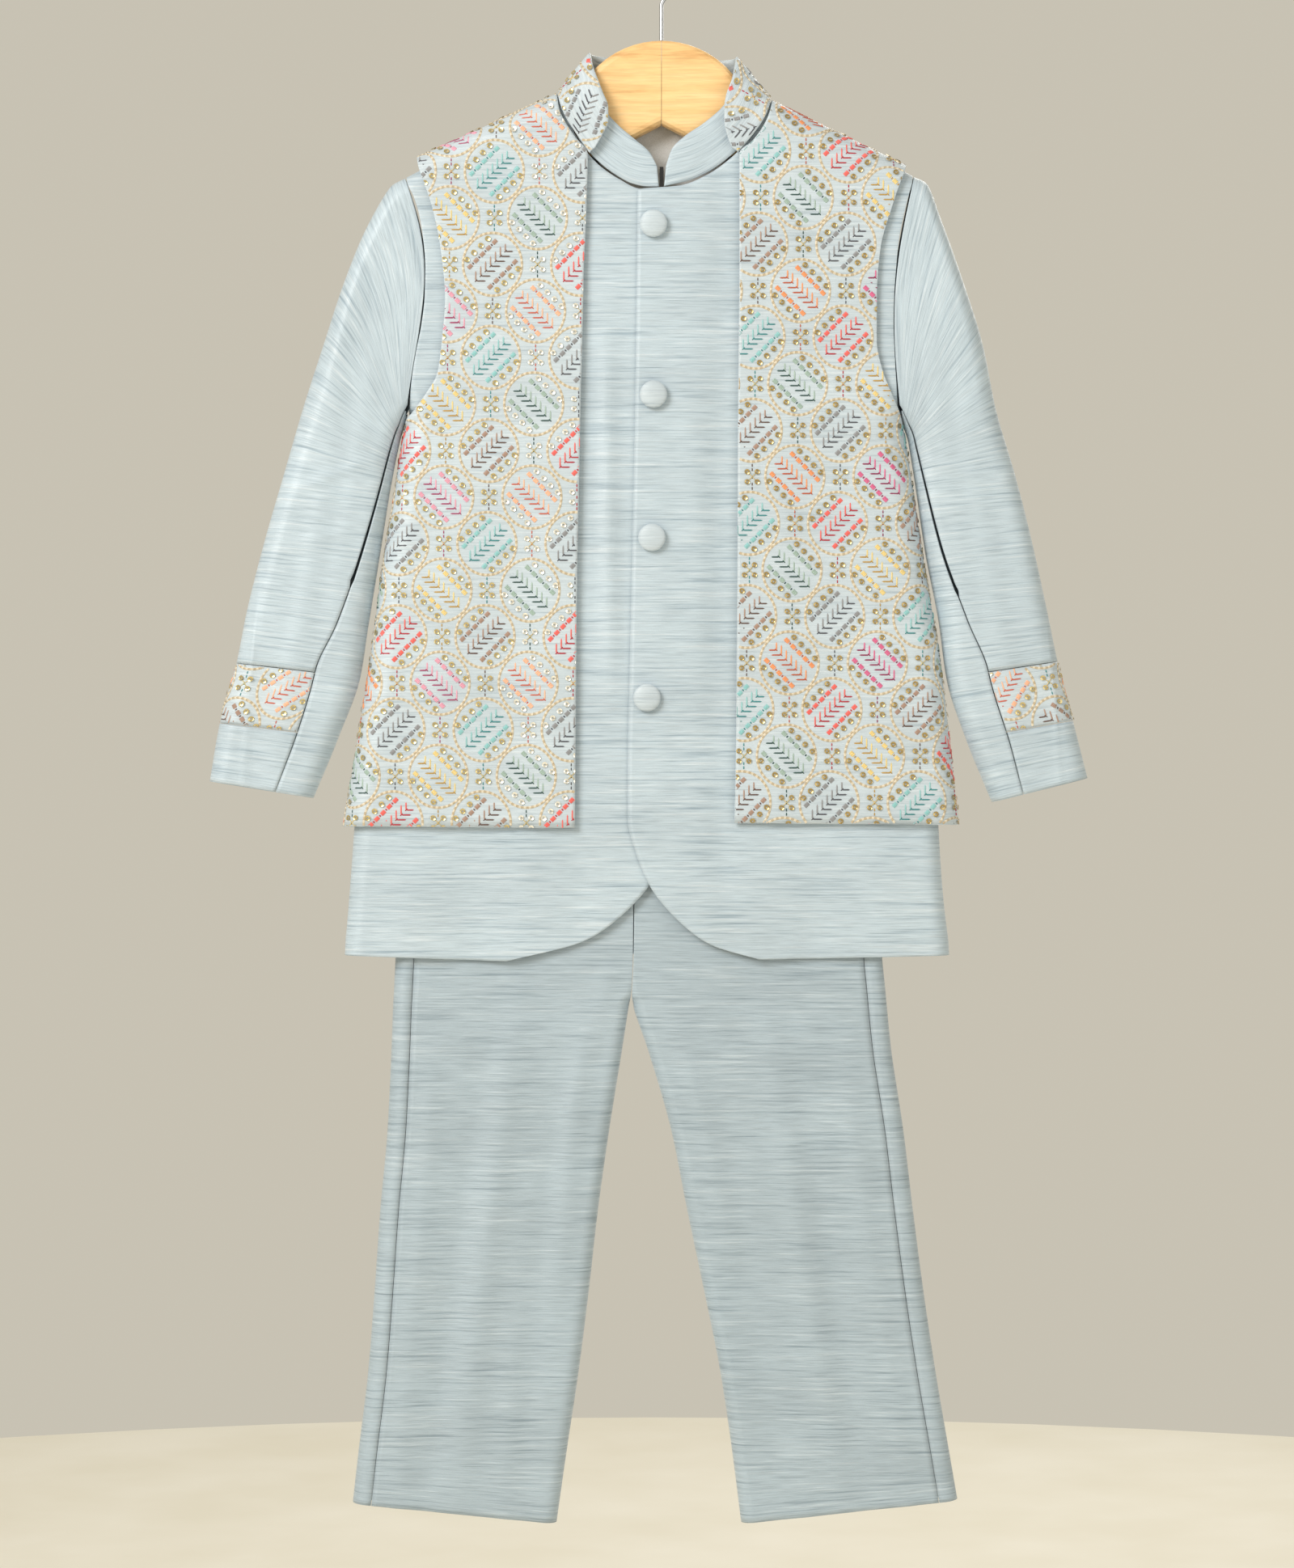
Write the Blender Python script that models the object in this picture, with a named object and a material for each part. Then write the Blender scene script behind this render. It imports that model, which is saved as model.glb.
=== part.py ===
"""Kurta, embroidered jacket and straight trousers, hung on a wooden hanger.

Metres, +Z up. The front faces -Y. The origin is the point where the hook rests on its rail. Tables are in
millimetres, and left and right in them are as seen from the front.
"""
from collections import namedtuple
from math import asin, cos, exp, hypot, pi, radians, sin, sqrt

import bmesh
import bpy
from mathutils import Vector

MM = 0.001
SEAM = 0.3          # space between two pieces at a seam
REST = 0.3          # space between a piece and what it rests on
KURTA_WALL = 1.2
JACKET_WALL = 1.6
TROUSER_WALL = 1.2
KURTA_DEPTH = 12.0  # half the depth of the hanging kurta
JACKET_DEPTH = 16.0
OVERLAP_LIFT = 1.8  # how far the upper front panel stands off the lower one
OVERLAP_EDGE = 22.0
OVERLAP_END = 40.0
FULL_ROLL = 90.0

# The shoulder lines, from the neck to the tip
Ridge = namedtuple("Ridge", "neck_x neck_z tip_x tip_z")
KURTA_RIDGES = (Ridge(-60.5, -102.8, -158.5, -155.0), Ridge(64.0, -107.2, 156.0, -154.0))
JACKET_RIDGES = (Ridge(-65.0, -102.7, -152.0, -142.5), Ridge(68.5, -107.0, 152.0, -147.5))
KURTA_BACK_NECK = -112.0
JACKET_BACK_NECK = -111.0

# A row of a front panel, from its inner edge to its armhole or side seam
Row = namedtuple("Row", "inner_x inner_z outer_x outer_z roll")
KURTA_LEFT = (
    Row(-60.5, -102.8, -158.5, -155.0, 12), Row(-60.2, -109, -157.3, -160.5, 12),
    Row(-58.5, -117, -153.5, -168.5, 12), Row(-55, -127, -150, -180, 12),
    Row(-48.5, -138, -147.5, -195, 12), Row(-40, -148, -146.2, -212, 12),
    Row(-26, -158, -146.6, -230, 12), Row(-12, -164, -148.5, -247, 12),
    Row(11, -164.5, -152.2, -266, 12), Row(11, -200, -154.6, -281, 16),
    Row(10.7, -235, -156, -294, 35), Row(10.3, -255, -156.6, -300.5, 60),
    Row(10, -270, -156.8, -304, 90), Row(9, -330, -158.8, -335, 90),
    Row(8, -400, -170.2, -400, 90), Row(7, -460, -178, -460, 90),
    Row(6, -520, -186, -520, 90), Row(5.5, -553, -190.6, -553, 90),
    Row(3.5, -575, -192.3, -577, 90), Row(-7.5, -595, -194, -599, 90),
    Row(-29, -617.5, -195.5, -618, 90), Row(-49, -630, -196.6, -630, 90),
    Row(-96, -642, -197, -638.5, 90))
KURTA_RIGHT = (
    Row(64, -107.2, 156, -154, 12), Row(63.4, -113, 155.3, -159.5, 12),
    Row(61.5, -120, 152.8, -168.5, 12), Row(58, -128, 150, -180, 12),
    Row(51, -137, 147, -195, 12), Row(42, -145.5, 145.3, -212, 12),
    Row(28, -155.5, 144, -230, 12), Row(12, -162, 143.6, -247, 12),
    Row(-14.8, -165, 144.3, -266, 12), Row(-15.2, -200, 145.2, -281, 16),
    Row(-15.6, -235, 146.2, -294, 35), Row(-15.8, -255, 146.8, -300.5, 60),
    Row(-16, -270, 147, -304, 90), Row(-17, -330, 148.5, -338, 90),
    Row(-18.5, -400, 156, -400, 90), Row(-19.8, -460, 164.2, -460, 90),
    Row(-21, -520, 169.8, -520, 90), Row(-21, -553, 172, -553, 90),
    Row(-16.5, -573, 173.4, -577, 90), Row(-7.5, -595, 175, -599, 90),
    Row(11, -617.5, 177, -618, 90), Row(31, -632, 178.5, -630, 90),
    Row(61, -641, 179, -638.5, 90))
JACKET_LEFT = (
    Row(-65, -102.7, -152, -142.5, 12), Row(-64.5, -108, -150.5, -150, 12),
    Row(-63, -116, -146.5, -161.5, 12), Row(-59, -124, -141.5, -177, 12),
    Row(-53, -133, -136.5, -202, 12), Row(-45.5, -144, -133.8, -232, 12),
    Row(-46.5, -180, -135.5, -255.5, 12), Row(-48, -215, -138.5, -278, 12),
    Row(-48.6, -245, -145, -290, 12), Row(-49.3, -272, -154, -302, 36),
    Row(-49.7, -285, -158.3, -307, 52), Row(-50, -298, -160.2, -313, 90),
    Row(-51, -350, -166, -351, 90), Row(-52, -397, -173.5, -397, 90),
    Row(-52.6, -450, -180.5, -450, 90), Row(-53, -500, -188.3, -500, 90),
    Row(-53.5, -559.5, -198, -558.5, 90))
JACKET_RIGHT = (
    Row(68.5, -107, 152, -147.5, 12), Row(68, -112, 150.5, -153, 12),
    Row(66, -119, 147.2, -161.5, 12), Row(62, -127, 142, -177, 12),
    Row(56, -135, 135.2, -202, 12), Row(48, -143.5, 133, -232, 12),
    Row(48, -180, 133, -258, 12), Row(48, -215, 137, -278, 12),
    Row(47.8, -245, 142, -290, 25), Row(47.5, -272, 147.5, -302, 50),
    Row(47.3, -285, 149.5, -308, 66), Row(47.2, -298, 151, -314, 90),
    Row(47, -347, 156, -347, 90), Row(46.8, -397, 163.6, -397, 90),
    Row(46.4, -450, 172.6, -450, 90), Row(46, -500, 178.6, -500, 90),
    Row(45, -556.5, 185, -557.5, 90))

# A ring of a sleeve, from its inner fold to its outer fold, with the front seam as a share of the width
Ring = namedtuple("Ring", "inner_x inner_z outer_x outer_z depth bow seam")
SLEEVE_LEFT = (
    Ring(-157.8, -304.4, -159.4, -155.6, 12, 12, 0.04), Ring(-158.6, -306.5, -167, -159.5, 12.3, 10, 0.04),
    Ring(-159.6, -309, -183, -185.5, 12.8, 7, 0.04), Ring(-160.8, -312.5, -197.5, -220.5, 13.2, 4, 0.04),
    Ring(-162.4, -318, -211, -261.5, 13.5, 2, 0.05), Ring(-164.4, -327, -222, -295.5, 13.5, 0, 0.06),
    Ring(-168.8, -350, -235, -340, 13.5, 0, 0.08), Ring(-175, -389, -247, -381.5, 13.5, 0, 0.14),
    Ring(-182.5, -435, -258, -425, 13.5, 0, 0.24), Ring(-187.5, -466.5, -264.5, -457.5, 13, 0, 0.35),
    Ring(-201, -503.5, -274.8, -494.5, 12.5, 0, 0.33), Ring(-216.5, -541, -281, -530.5, 12, 0, 0.35))
SLEEVE_RIGHT = (
    Ring(148.2, -304.4, 156.9, -154.7, 12, 8, 0.04), Ring(149, -306.5, 164.5, -158.5, 12.3, 7, 0.04),
    Ring(150, -309, 174.5, -183, 12.8, 5, 0.04), Ring(151.4, -312.5, 187, -218, 13.2, 3, 0.04),
    Ring(153.2, -318, 200, -259.5, 13.5, 1, 0.05), Ring(154.8, -327, 208, -299, 13.5, 0, 0.06),
    Ring(158, -347, 220, -340, 13.5, 0, 0.08), Ring(164.2, -389, 230.5, -381.5, 13.5, 0, 0.14),
    Ring(172.4, -431, 240, -425, 13.5, 0, 0.24), Ring(177.4, -467, 246.5, -456.5, 13, 0, 0.36),
    Ring(189.5, -504.5, 256, -493, 12.5, 0, 0.36), Ring(205.5, -543.5, 265, -528.5, 12, 0, 0.31))
BAND_TOP = 9        # the ring at each end of the embroidered sleeve band
BAND_END = 10

# A row of one trouser leg, from the rise seam or inner fold to the outer fold
LegRow = namedtuple("LegRow", "inner_x inner_z outer_x outer_z depth roll")
LEG_LEFT = (
    LegRow(-17.2, -455.8, -149, -455.8, 10.2, 12), LegRow(-17.2, -497.5, -156.5, -497.5, 8.8, 12),
    LegRow(-17.3, -572.5, -163, -572.5, 8, 12), LegRow(-17.8, -640, -165.5, -640, 8, 12),
    LegRow(-18.9, -662, -166.5, -662, 8, 35), LegRow(-20.4, -671, -167, -670, 8, 90),
    LegRow(-24.5, -697.5, -168, -697.5, 8.5, 90), LegRow(-32.5, -747.5, -170.5, -747.5, 9, 90),
    LegRow(-39.5, -797.5, -175, -797.5, 9, 90), LegRow(-45.2, -847.5, -178.5, -847.5, 9, 90),
    LegRow(-51.5, -897.5, -182.5, -897.5, 9, 90), LegRow(-59, -947.5, -188.5, -947.5, 9, 90),
    LegRow(-65.2, -991, -192, -978.5, 9, 90))
LEG_RIGHT = (
    LegRow(-16.7, -455.8, 106, -455.8, 10.2, 12), LegRow(-16.7, -497.5, 118.5, -497.5, 8.8, 12),
    LegRow(-16.8, -572.5, 131, -572.5, 8, 12), LegRow(-17.3, -640, 137.5, -642.5, 8, 12),
    LegRow(-18.3, -662, 139.5, -662, 8, 35), LegRow(-17.3, -671, 140.3, -671, 8, 90),
    LegRow(-8.5, -697.5, 143, -697.5, 8.5, 90), LegRow(6, -747.5, 150.5, -747.5, 9, 90),
    LegRow(16, -797.5, 156.5, -797.5, 9, 90), LegRow(26.5, -847.5, 163, -847.5, 9, 90),
    LegRow(36.5, -897.5, 170.5, -897.5, 9, 90), LegRow(44, -947.5, 179, -947.5, 9, 90),
    LegRow(49.5, -991, 184, -976.5, 9, 90))
SIDE_SEAM_IN = 12.0     # the trouser side seam lies on the front, this far from the outer fold
WAIST_TOP = -430.0
WAIST_END = -455.2
WAIST_LEFT = -147.0
WAIST_RIGHT = 103.0

# Long soft folds, each a ridge from one point to another
Fold = namedtuple("Fold", "top_x top_z end_x end_z width height")
KURTA_FOLDS = (Fold(-34, -250, -31, -480, 4.5, 2.0),)
LEG_LEFT_FOLDS = (
    Fold(-88, -655, -128, -985, 9, 2.6), Fold(-48, -665, -66, -860, 7, 2.0), Fold(-140, -680, -152, -860, 7, 1.6))
LEG_RIGHT_FOLDS = (
    Fold(62, -655, 112, -985, 9, 2.6), Fold(12, -668, 44, -830, 7, 2.0), Fold(112, -680, 132, -860, 7, 1.6))

# A station of a collar, from its seam at the neck to its upper edge
Station = namedtuple("Station", "base_x base_y base_z top_x top_y top_z")
KURTA_COLLAR = (
    Station(-1.6, -12.6, -162.6, -2.6, -11.8, -150), Station(-9, -12.6, -162.5, -7.5, -11.4, -141),
    Station(-18, -12.3, -160.6, -16.5, -10.8, -133), Station(-31, -12, -153.3, -27, -10.4, -124),
    Station(-42.2, -12, -143.8, -36.5, -10.2, -113), Station(-51, -12, -133, -42, -9.8, -103),
    Station(-57, -11.9, -118.5, -45, -8.4, -94.5), Station(-59.2, -9.4, -107, -47, -4.7, -90.5),
    Station(-59.6, 0, -101.8, -47.5, 0, -89.5), Station(-58, 8.6, -104, -46, 5.4, -89),
    Station(-53.5, 11.6, -107, -42, 8.2, -88.4), Station(-46, 12, -109.8, -34, 9.8, -87.6),
    Station(-28, 12, -111, -22, 10.3, -87.5),
    Station(0, 12, -111, 0, 10.4, -87.5), Station(28, 12, -111, 23, 10.3, -89),
    Station(49, 12, -110.2, 37, 9.8, -90.4), Station(56.5, 11.2, -108.6, 44.5, 8, -91.6),
    Station(61, 8, -107.2, 48.5, 5.2, -93),
    Station(63, 0, -105.8, 50, 0, -94), Station(62.4, -9.4, -111, 49.5, -4.7, -95),
    Station(60.2, -11.9, -121, 47, -8.4, -98), Station(53, -12, -133, 43, -9.8, -105),
    Station(43, -12, -143, 37.5, -10.2, -113), Station(30, -12, -152.6, 26, -10.4, -123),
    Station(18, -13, -158.4, 14.5, -11.4, -131), Station(8, -13.3, -161, 6.5, -12, -139),
    Station(1.6, -13.3, -162.4, 2.6, -12.4, -150))
JACKET_COLLAR = (
    Station(-44.6, -16.2, -142.4, -41.5, -17, -139.5), Station(-48.4, -16.2, -136.8, -36.5, -16.9, -131),
    Station(-53.4, -16.2, -129.4, -32.8, -16.4, -122), Station(-58.6, -16.1, -121.4, -33, -15.7, -113.5),
    Station(-62, -15.4, -113.8, -36.5, -14.5, -104), Station(-63.8, -13, -107.2, -40, -12.3, -94.5),
    Station(-64, -8, -103.2, -42.8, -8, -86.5), Station(-64, 0, -101.2, -45, 0, -77),
    Station(-63, 9, -103.2, -43.5, 7, -77), Station(-59.5, 13, -105.2, -40, 10.5, -77.2),
    Station(-53, 15.6, -107.6, -34, 13, -77.5), Station(-29, 16.2, -110, -20, 14.8, -78.5),
    Station(0, 16.2, -110.2, 0, 15.2, -79), Station(30, 16.2, -110, 20, 14.8, -79.5),
    Station(57, 15.6, -109, 35, 13, -79.5), Station(63.5, 12, -107.4, 42, 10.5, -79.5),
    Station(66.6, 8, -106.4, 45.5, 7, -79.5), Station(67.6, 0, -105.4, 47, 0, -79.5),
    Station(67.4, -8, -107.4, 45.5, -8, -88), Station(67, -13, -111.4, 43.5, -12.3, -96),
    Station(65, -15.4, -117.4, 40, -14.5, -106), Station(61, -16.1, -124.6, 38.6, -15.7, -115),
    Station(55.4, -16.2, -132.2, 38.8, -16.4, -123), Station(50.6, -16.2, -138, 40.6, -16.9, -131.5),
    Station(47.2, -16.2, -141.8, 43.4, -17, -139))

Place = namedtuple("Place", "x z")
BUTTONS = (Place(-5, -186), Place(-5, -291.5), Place(-6, -380), Place(-9, -479))
BUTTON_WIDTH = 17.0
BUTTON_HEIGHT = 5.4

HUMP_RADIUS = 58.0
HUMP_CENTRE = -128.0
WOOD_HALF = 6.0
WOOD_EDGE = 4.6
ARM_TIP_X = 147.0
ARM_UNDER_X = 16.5
ARM_UNDER_Z = -131.0
ARM_END_WIDTH = 27.0
NECK_RELIEF = 2.4   # the wood dips this much under the neckline
NOTCH_Z = -122.5
WIRE_WIDTH = 2.7
CROOK_INNER = 17.0
SHANK_TOP = -48.0

# Steps down a panel close to its shoulder line, where it bends most
RIDGE_STEPS = (0, 0.08, 0.25, 0.5, 0.8, 1.2)
UNDERARM_GAP = 1.8  # the sleeve seam is wider where it turns under the arm
FRONT_STATIONS = (0, 0.1, 0.22, 0.4, 0.6, 0.8, 1, 1.3, 1.6, 2)


def row_at(table, v):
    """The row of the table at v, which counts rows. Each column is eased, and never passes its own values."""
    k = min(int(v), len(table) - 2)
    w = v - k
    values = []
    for column in zip(*table):
        steps = [b - a for a, b in zip(column, column[1:])]
        here = steps[k]
        before = steps[k - 1] if k > 0 else here
        after = steps[k + 1] if k + 1 < len(steps) else here
        start = 2 * before * here / (before + here) if before * here > 0 else 0
        end = 2 * here * after / (here + after) if here * after > 0 else 0
        values.append(column[k] + start * (w - 2 * w**2 + w**3) + here * (3 * w**2 - 2 * w**3)
                      + end * (w**3 - w**2))
    return type(table[0])(*values)


def ridge_z(ridges, x):
    ridge = ridges[0] if x < 0 else ridges[1]
    slope = (ridge.tip_z - ridge.neck_z) / (ridge.tip_x - ridge.neck_x)
    return ridge.neck_z + slope * (x - ridge.neck_x)


def body_depth(ridges, full, x, z):
    """Half the depth at a point: nothing on the shoulder line, and full once it has rounded over."""
    below = max(0.0, ridge_z(ridges, x) - z)
    if below >= full:
        return full
    return sqrt(full**2 - (full - below) ** 2)


def bulge(folds, x, z):
    """How far the long folds stand out at a point."""
    out = 0.0
    for fold in folds:
        share = (z - fold.top_z) / (fold.end_z - fold.top_z)
        if 0 < share < 1:
            middle = fold.top_x + share * (fold.end_x - fold.top_x)
            out += fold.height * sin(pi * share) ** 0.6 * exp(-(((x - middle) / fold.width) ** 2))
    return out


Section = namedtuple("Section", "ax az bx bz roll_a roll_b radius bow skew", defaults=(0, 1))


def across(section, s):
    """x, z and fullness at s. From -1 to 0 it rolls from edge a, from 0 to 1 it is flat, and from 1 to 2 it
    rolls to edge b."""
    width = hypot(section.bx - section.ax, section.bz - section.az)
    way_x = (section.bx - section.ax) / width
    way_z = (section.bz - section.az) / width
    roll_a = radians(section.roll_a)
    roll_b = radians(section.roll_b)
    start = section.radius * sin(roll_a)
    end = width - section.radius * sin(roll_b)
    full = 1.0
    if s < 0:
        at = start - section.radius * sin(-s * roll_a)
        full = cos(-s * roll_a)
    elif s > 1:
        at = end + section.radius * sin((s - 1) * roll_b)
        full = cos((s - 1) * roll_b)
    else:
        at = start + (end - start) * s
    share = min(1.0, max(0.0, at / width))
    aside = section.bow * sin(pi * share**section.skew)
    return section.ax + way_x * at - way_z * aside, section.az + way_z * at + way_x * aside, full


def station_at(section, share):
    """The s of a seam that lies at this share of the width from edge a, where that edge is a fold."""
    width = hypot(section.bx - section.ax, section.bz - section.az)
    at = share * width
    if at < section.radius:
        return -asin(1 - at / section.radius) / radians(FULL_ROLL)
    return (at - section.radius) / (width - 2 * section.radius)


def material(name, colour, roughness, metallic=0.0):
    made = bpy.data.materials.new(name)
    made.use_nodes = True
    shader = made.node_tree.nodes["Principled BSDF"]
    shader.inputs["Base Color"].default_value = (*colour, 1)
    shader.inputs["Roughness"].default_value = roughness
    shader.inputs["Metallic"].default_value = metallic
    made.diffuse_color = (*colour, 1)
    return made


def place(name, mesh, finish):
    obj = bpy.data.objects.new(name, mesh)
    bpy.data.collections[COLLECTION].objects.link(obj)
    mesh.materials.append(finish)
    return obj


def cloth(name, point, stations, rows, wall, finish, keep=None):
    """A sewn panel: a grid laid over point(s, v) in millimetres and thickened inwards. A vertex past the seam
    is put back on it by keep."""
    bm = bmesh.new()
    across_steps = len(stations) - 1
    down_steps = len(rows) - 1
    bmesh.ops.create_grid(bm, x_segments=across_steps, y_segments=down_steps, size=0.5)
    for vert in bm.verts:
        s = stations[round((vert.co.x + 0.5) * across_steps)]
        v = rows[round((vert.co.y + 0.5) * down_steps)]
        vert.co = Vector(point(s, v))
    bm.normal_update()
    if sum(f.calc_area() * f.normal.y * f.calc_center_median().y for f in bm.faces) < 0:
        bmesh.ops.reverse_faces(bm, faces=bm.faces)
    bmesh.ops.solidify(bm, geom=bm.faces[:], thickness=wall)
    for vert in bm.verts:
        if keep:
            vert.co.y = keep(vert.co)
        vert.co *= MM
    mesh = bpy.data.meshes.new(name)
    bm.to_mesh(mesh)
    bm.free()
    mesh.shade_smooth()
    mesh.set_sharp_from_angle(angle=radians(50))
    return place(name, mesh, finish)


def in_front(co):
    return min(co.y, -SEAM / 2)


def behind(co):
    return max(co.y, SEAM / 2)


def steps(start, end, count):
    return [start + (end - start) * k / count for k in range(count + 1)]


def kurta_lift(x):
    """The upper front panel stands off the lower one near its edge and eases back to the body."""
    share = min(1.0, max(0.0, (OVERLAP_END - x) / (OVERLAP_END - OVERLAP_EDGE)))
    return OVERLAP_LIFT * share * share * (3 - 2 * share)


def front_panel(name, table, ridges, depth, wall, finish, lift=None, folds=()):
    def point(s, v):
        row = row_at(table, v)
        section = Section(row.inner_x, row.inner_z, row.outer_x, row.outer_z, 0, row.roll, depth)
        x, z, full = across(section, s)
        out = body_depth(ridges, depth, x, z) * full + bulge(folds, x, z)
        if lift:
            out += lift(x)
        return x, -(out + SEAM / 2), z

    rows = list(RIDGE_STEPS) + list(range(2, len(table)))
    return cloth(name, point, FRONT_STATIONS, rows, wall, finish, in_front)


def back_stations(ridges):
    """Places across a back, closer together at the two ends of the neck."""
    width = ridges[1].tip_x - ridges[0].tip_x
    left = (ridges[0].neck_x - ridges[0].tip_x) / width
    right = (ridges[1].neck_x - ridges[0].tip_x) / width
    places = [-1, -0.6, -0.3, 0, 0.12, 0.22, left - 0.018, left, left + 0.014, left + 0.035, 0.4, 0.5, 0.6]
    places += [right - 0.035, right - 0.014, right, right + 0.018, 0.8, 0.9, 1, 1.3, 1.6, 2]
    return places


def back_panel(name, left, right, ridges, depth, neck_z, crown_rows, wall, finish):
    """A whole back. Its top follows both shoulder lines and dips between them at the neck."""
    def top_z(x):
        ridge = ridges[0] if x < 0 else ridges[1]
        if abs(x) >= abs(ridge.neck_x):
            return ridge_z(ridges, x)
        share = abs(x / ridge.neck_x)
        return neck_z + (ridge.neck_z - neck_z) * share**8

    def point(s, v):
        a = row_at(left, v)
        b = row_at(right, v)
        section = Section(a.outer_x, a.outer_z, b.outer_x, b.outer_z, a.roll, b.roll, depth)
        x, z, full = across(section, s)
        crown = max(0.0, 1 - v / crown_rows) ** 1.3
        share = (x - ridges[0].tip_x) / (ridges[1].tip_x - ridges[0].tip_x)
        tips = ridges[0].tip_z + share * (ridges[1].tip_z - ridges[0].tip_z)
        z += crown * max(0.0, top_z(x) - tips)
        return x, body_depth(ridges, depth, x, z) * full + SEAM / 2, z

    rows = list(RIDGE_STEPS) + list(range(2, 14)) + list(range(15, len(left), 3))
    if rows[-1] != len(left) - 1:
        rows.append(len(left) - 1)
    return cloth(name, point, back_stations(ridges), rows, wall, finish, behind)


def ring_point(section, depth, s, out=0.0):
    """A point of a flat tube: s from -1 to 2 runs over its front, and from 2 to 5 over its back."""
    behind = s > 2
    x, z, full = across(section, 4 - s if behind else s)
    y = depth * full + out
    return x, (y if behind else -y), z


def along(section, distance):
    """How much s changes over this distance on the flat of the front, and over the underarm gap on the roll."""
    flat = hypot(section.bx - section.ax, section.bz - section.az) - 2 * section.radius
    return distance / flat, UNDERARM_GAP / 2 / (section.radius * pi / 2)


def sleeve(side, table, sign, skew, cloth_finish, band_finish):
    """A two-piece sleeve. The upper piece is cut across by the embroidered band and the cuff."""
    def section_at(ring):
        return Section(ring.inner_x, ring.inner_z, ring.outer_x, ring.outer_z,
                       FULL_ROLL, FULL_ROLL, ring.depth, sign * ring.bow, skew)

    def seam_of(section, ring):
        seam = station_at(section, ring.seam)
        on_flat, on_roll = along(section, SEAM)
        return seam, on_flat if seam > 0 else on_roll

    def upper(w, v):
        ring = row_at(table, v)
        section = section_at(ring)
        seam, gap = seam_of(section, ring)
        return ring_point(section, ring.depth, seam + gap + (4 - 2 * (seam + gap)) * w)

    def under(w, v):
        ring = row_at(table, v)
        section = section_at(ring)
        seam, gap = seam_of(section, ring)
        x, y, z = ring_point(section, ring.depth, (seam - gap + 1) * abs(w) - 1)
        return x, (y if w < 0 else -y), z

    end = len(table) - 1
    cut = 0.012
    wide = steps(0, 1, 14)
    upper_rows = steps(0, BAND_TOP - cut, 10)
    band_rows = steps(BAND_TOP, BAND_END - cut, 2)
    cuff_rows = steps(BAND_END, end, 2)
    name = f"sleeve_{side}_"
    cloth(name + "top", upper, wide, upper_rows, KURTA_WALL, cloth_finish)
    cloth(name + "band", upper, wide, band_rows, KURTA_WALL, band_finish)
    cloth(name + "cuff", upper, wide, cuff_rows, KURTA_WALL, cloth_finish)
    cloth(name + "under", under, steps(-1, 1, 8), upper_rows[1:] + band_rows + cuff_rows, KURTA_WALL,
          cloth_finish)


def trouser_half(side, table, folds, finish):
    def section_at(row):
        return Section(row.inner_x, row.inner_z, row.outer_x, row.outer_z,
                       row.roll, FULL_ROLL, row.depth)

    def seam_at(section):
        width = hypot(section.bx - section.ax, section.bz - section.az)
        start = section.radius * sin(radians(section.roll_a))
        return (width - SIDE_SEAM_IN - start) / (width - start - section.radius)

    def front(w, v):
        row = row_at(table, v)
        section = section_at(row)
        s = -1 + (seam_at(section) - along(section, SEAM / 2)[0] + 1) * w
        x, z, full = across(section, s)
        return ring_point(section, row.depth, s, bulge(folds, x, z) * full)

    def back(w, v):
        row = row_at(table, v)
        section = section_at(row)
        start = seam_at(section) + along(section, SEAM / 2)[0]
        s = start + (5 - start) * w
        x, z, full = across(section, 4 - s if s > 2 else s)
        return ring_point(section, row.depth, s, bulge(folds, x, z) * full * (s > 2))

    def keep_back(co):
        inside = row_at(table, len(table) - 1)
        near_outer = abs(co.x - inside.outer_x) < abs(co.x - inside.inner_x)
        return co.y if near_outer else behind(co)

    rows = [0, 1, 2, 3, 3.6, 4, 4.5, 5, 5.5, 6, 7, 8, 9, 10.5, len(table) - 1]
    cloth(f"trouser_front_{side}", front, steps(0, 1, 10), rows, TROUSER_WALL, finish, in_front)
    cloth(f"trouser_back_{side}", back, steps(0, 1, 13), rows, TROUSER_WALL, finish, keep_back)


def waistband(finish):
    depth = KURTA_DEPTH - KURTA_WALL - REST + SEAM / 2

    def point(s, v):
        z = WAIST_TOP + (WAIST_END - WAIST_TOP) * v
        section = Section(WAIST_LEFT, z, WAIST_RIGHT, z, FULL_ROLL, FULL_ROLL, depth)
        return ring_point(section, depth, s)

    cloth("trouser_waistband", point, steps(-1, 4.99, 24), steps(0, 1, 2), TROUSER_WALL, finish)


def collar(name, table, wall, finish):
    """A stand collar, with a slight outward swell between its seam and its upper edge."""
    def point(s, v):
        at = row_at(table, v)
        swell = 0.5 * sin(pi * s)
        reach = hypot(at.base_x, at.base_y)
        x = at.base_x + (at.top_x - at.base_x) * s + swell * at.base_x / reach
        y = at.base_y + (at.top_y - at.base_y) * s + swell * at.base_y / reach
        return x, y, at.base_z + (at.top_z - at.base_z) * s

    count = len(table) - 1
    cloth(name, point, steps(0, 1, 3), steps(0, count, count + count // 2), wall, finish)


def back_lining(finish):
    outer = KURTA_DEPTH - KURTA_WALL - REST + SEAM / 2

    def point(s, v):
        return -40 + 82 * s, outer, -114 - 52 * v - 6 * v * sin(pi * s)

    cloth("kurta_back_lining", point, steps(0, 1, 6), steps(0, 1, 3), 0.9, finish)


def ellipsoid(name, centre, size, finish):
    bm = bmesh.new()
    bmesh.ops.create_uvsphere(bm, u_segments=14, v_segments=7, radius=0.5)
    for vert in bm.verts:
        turned = Vector((vert.co.x, -vert.co.z, vert.co.y))
        vert.co = Vector([c + t * w for c, t, w in zip(centre, turned, size)]) * MM
    mesh = bpy.data.meshes.new(name)
    bm.to_mesh(mesh)
    bm.free()
    mesh.shade_smooth()
    return place(name, mesh, finish)


def collar_hook(finish):
    bm = bmesh.new()
    bmesh.ops.create_cube(bm, size=1)
    for vert in bm.verts:
        vert.co = Vector((vert.co.x * 2.4, -12.6 + vert.co.y * 1.6, -156.5 + vert.co.z * 12)) * MM
    mesh = bpy.data.meshes.new("collar_hook")
    bm.to_mesh(mesh)
    bm.free()
    place("collar_hook", mesh, finish)


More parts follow.
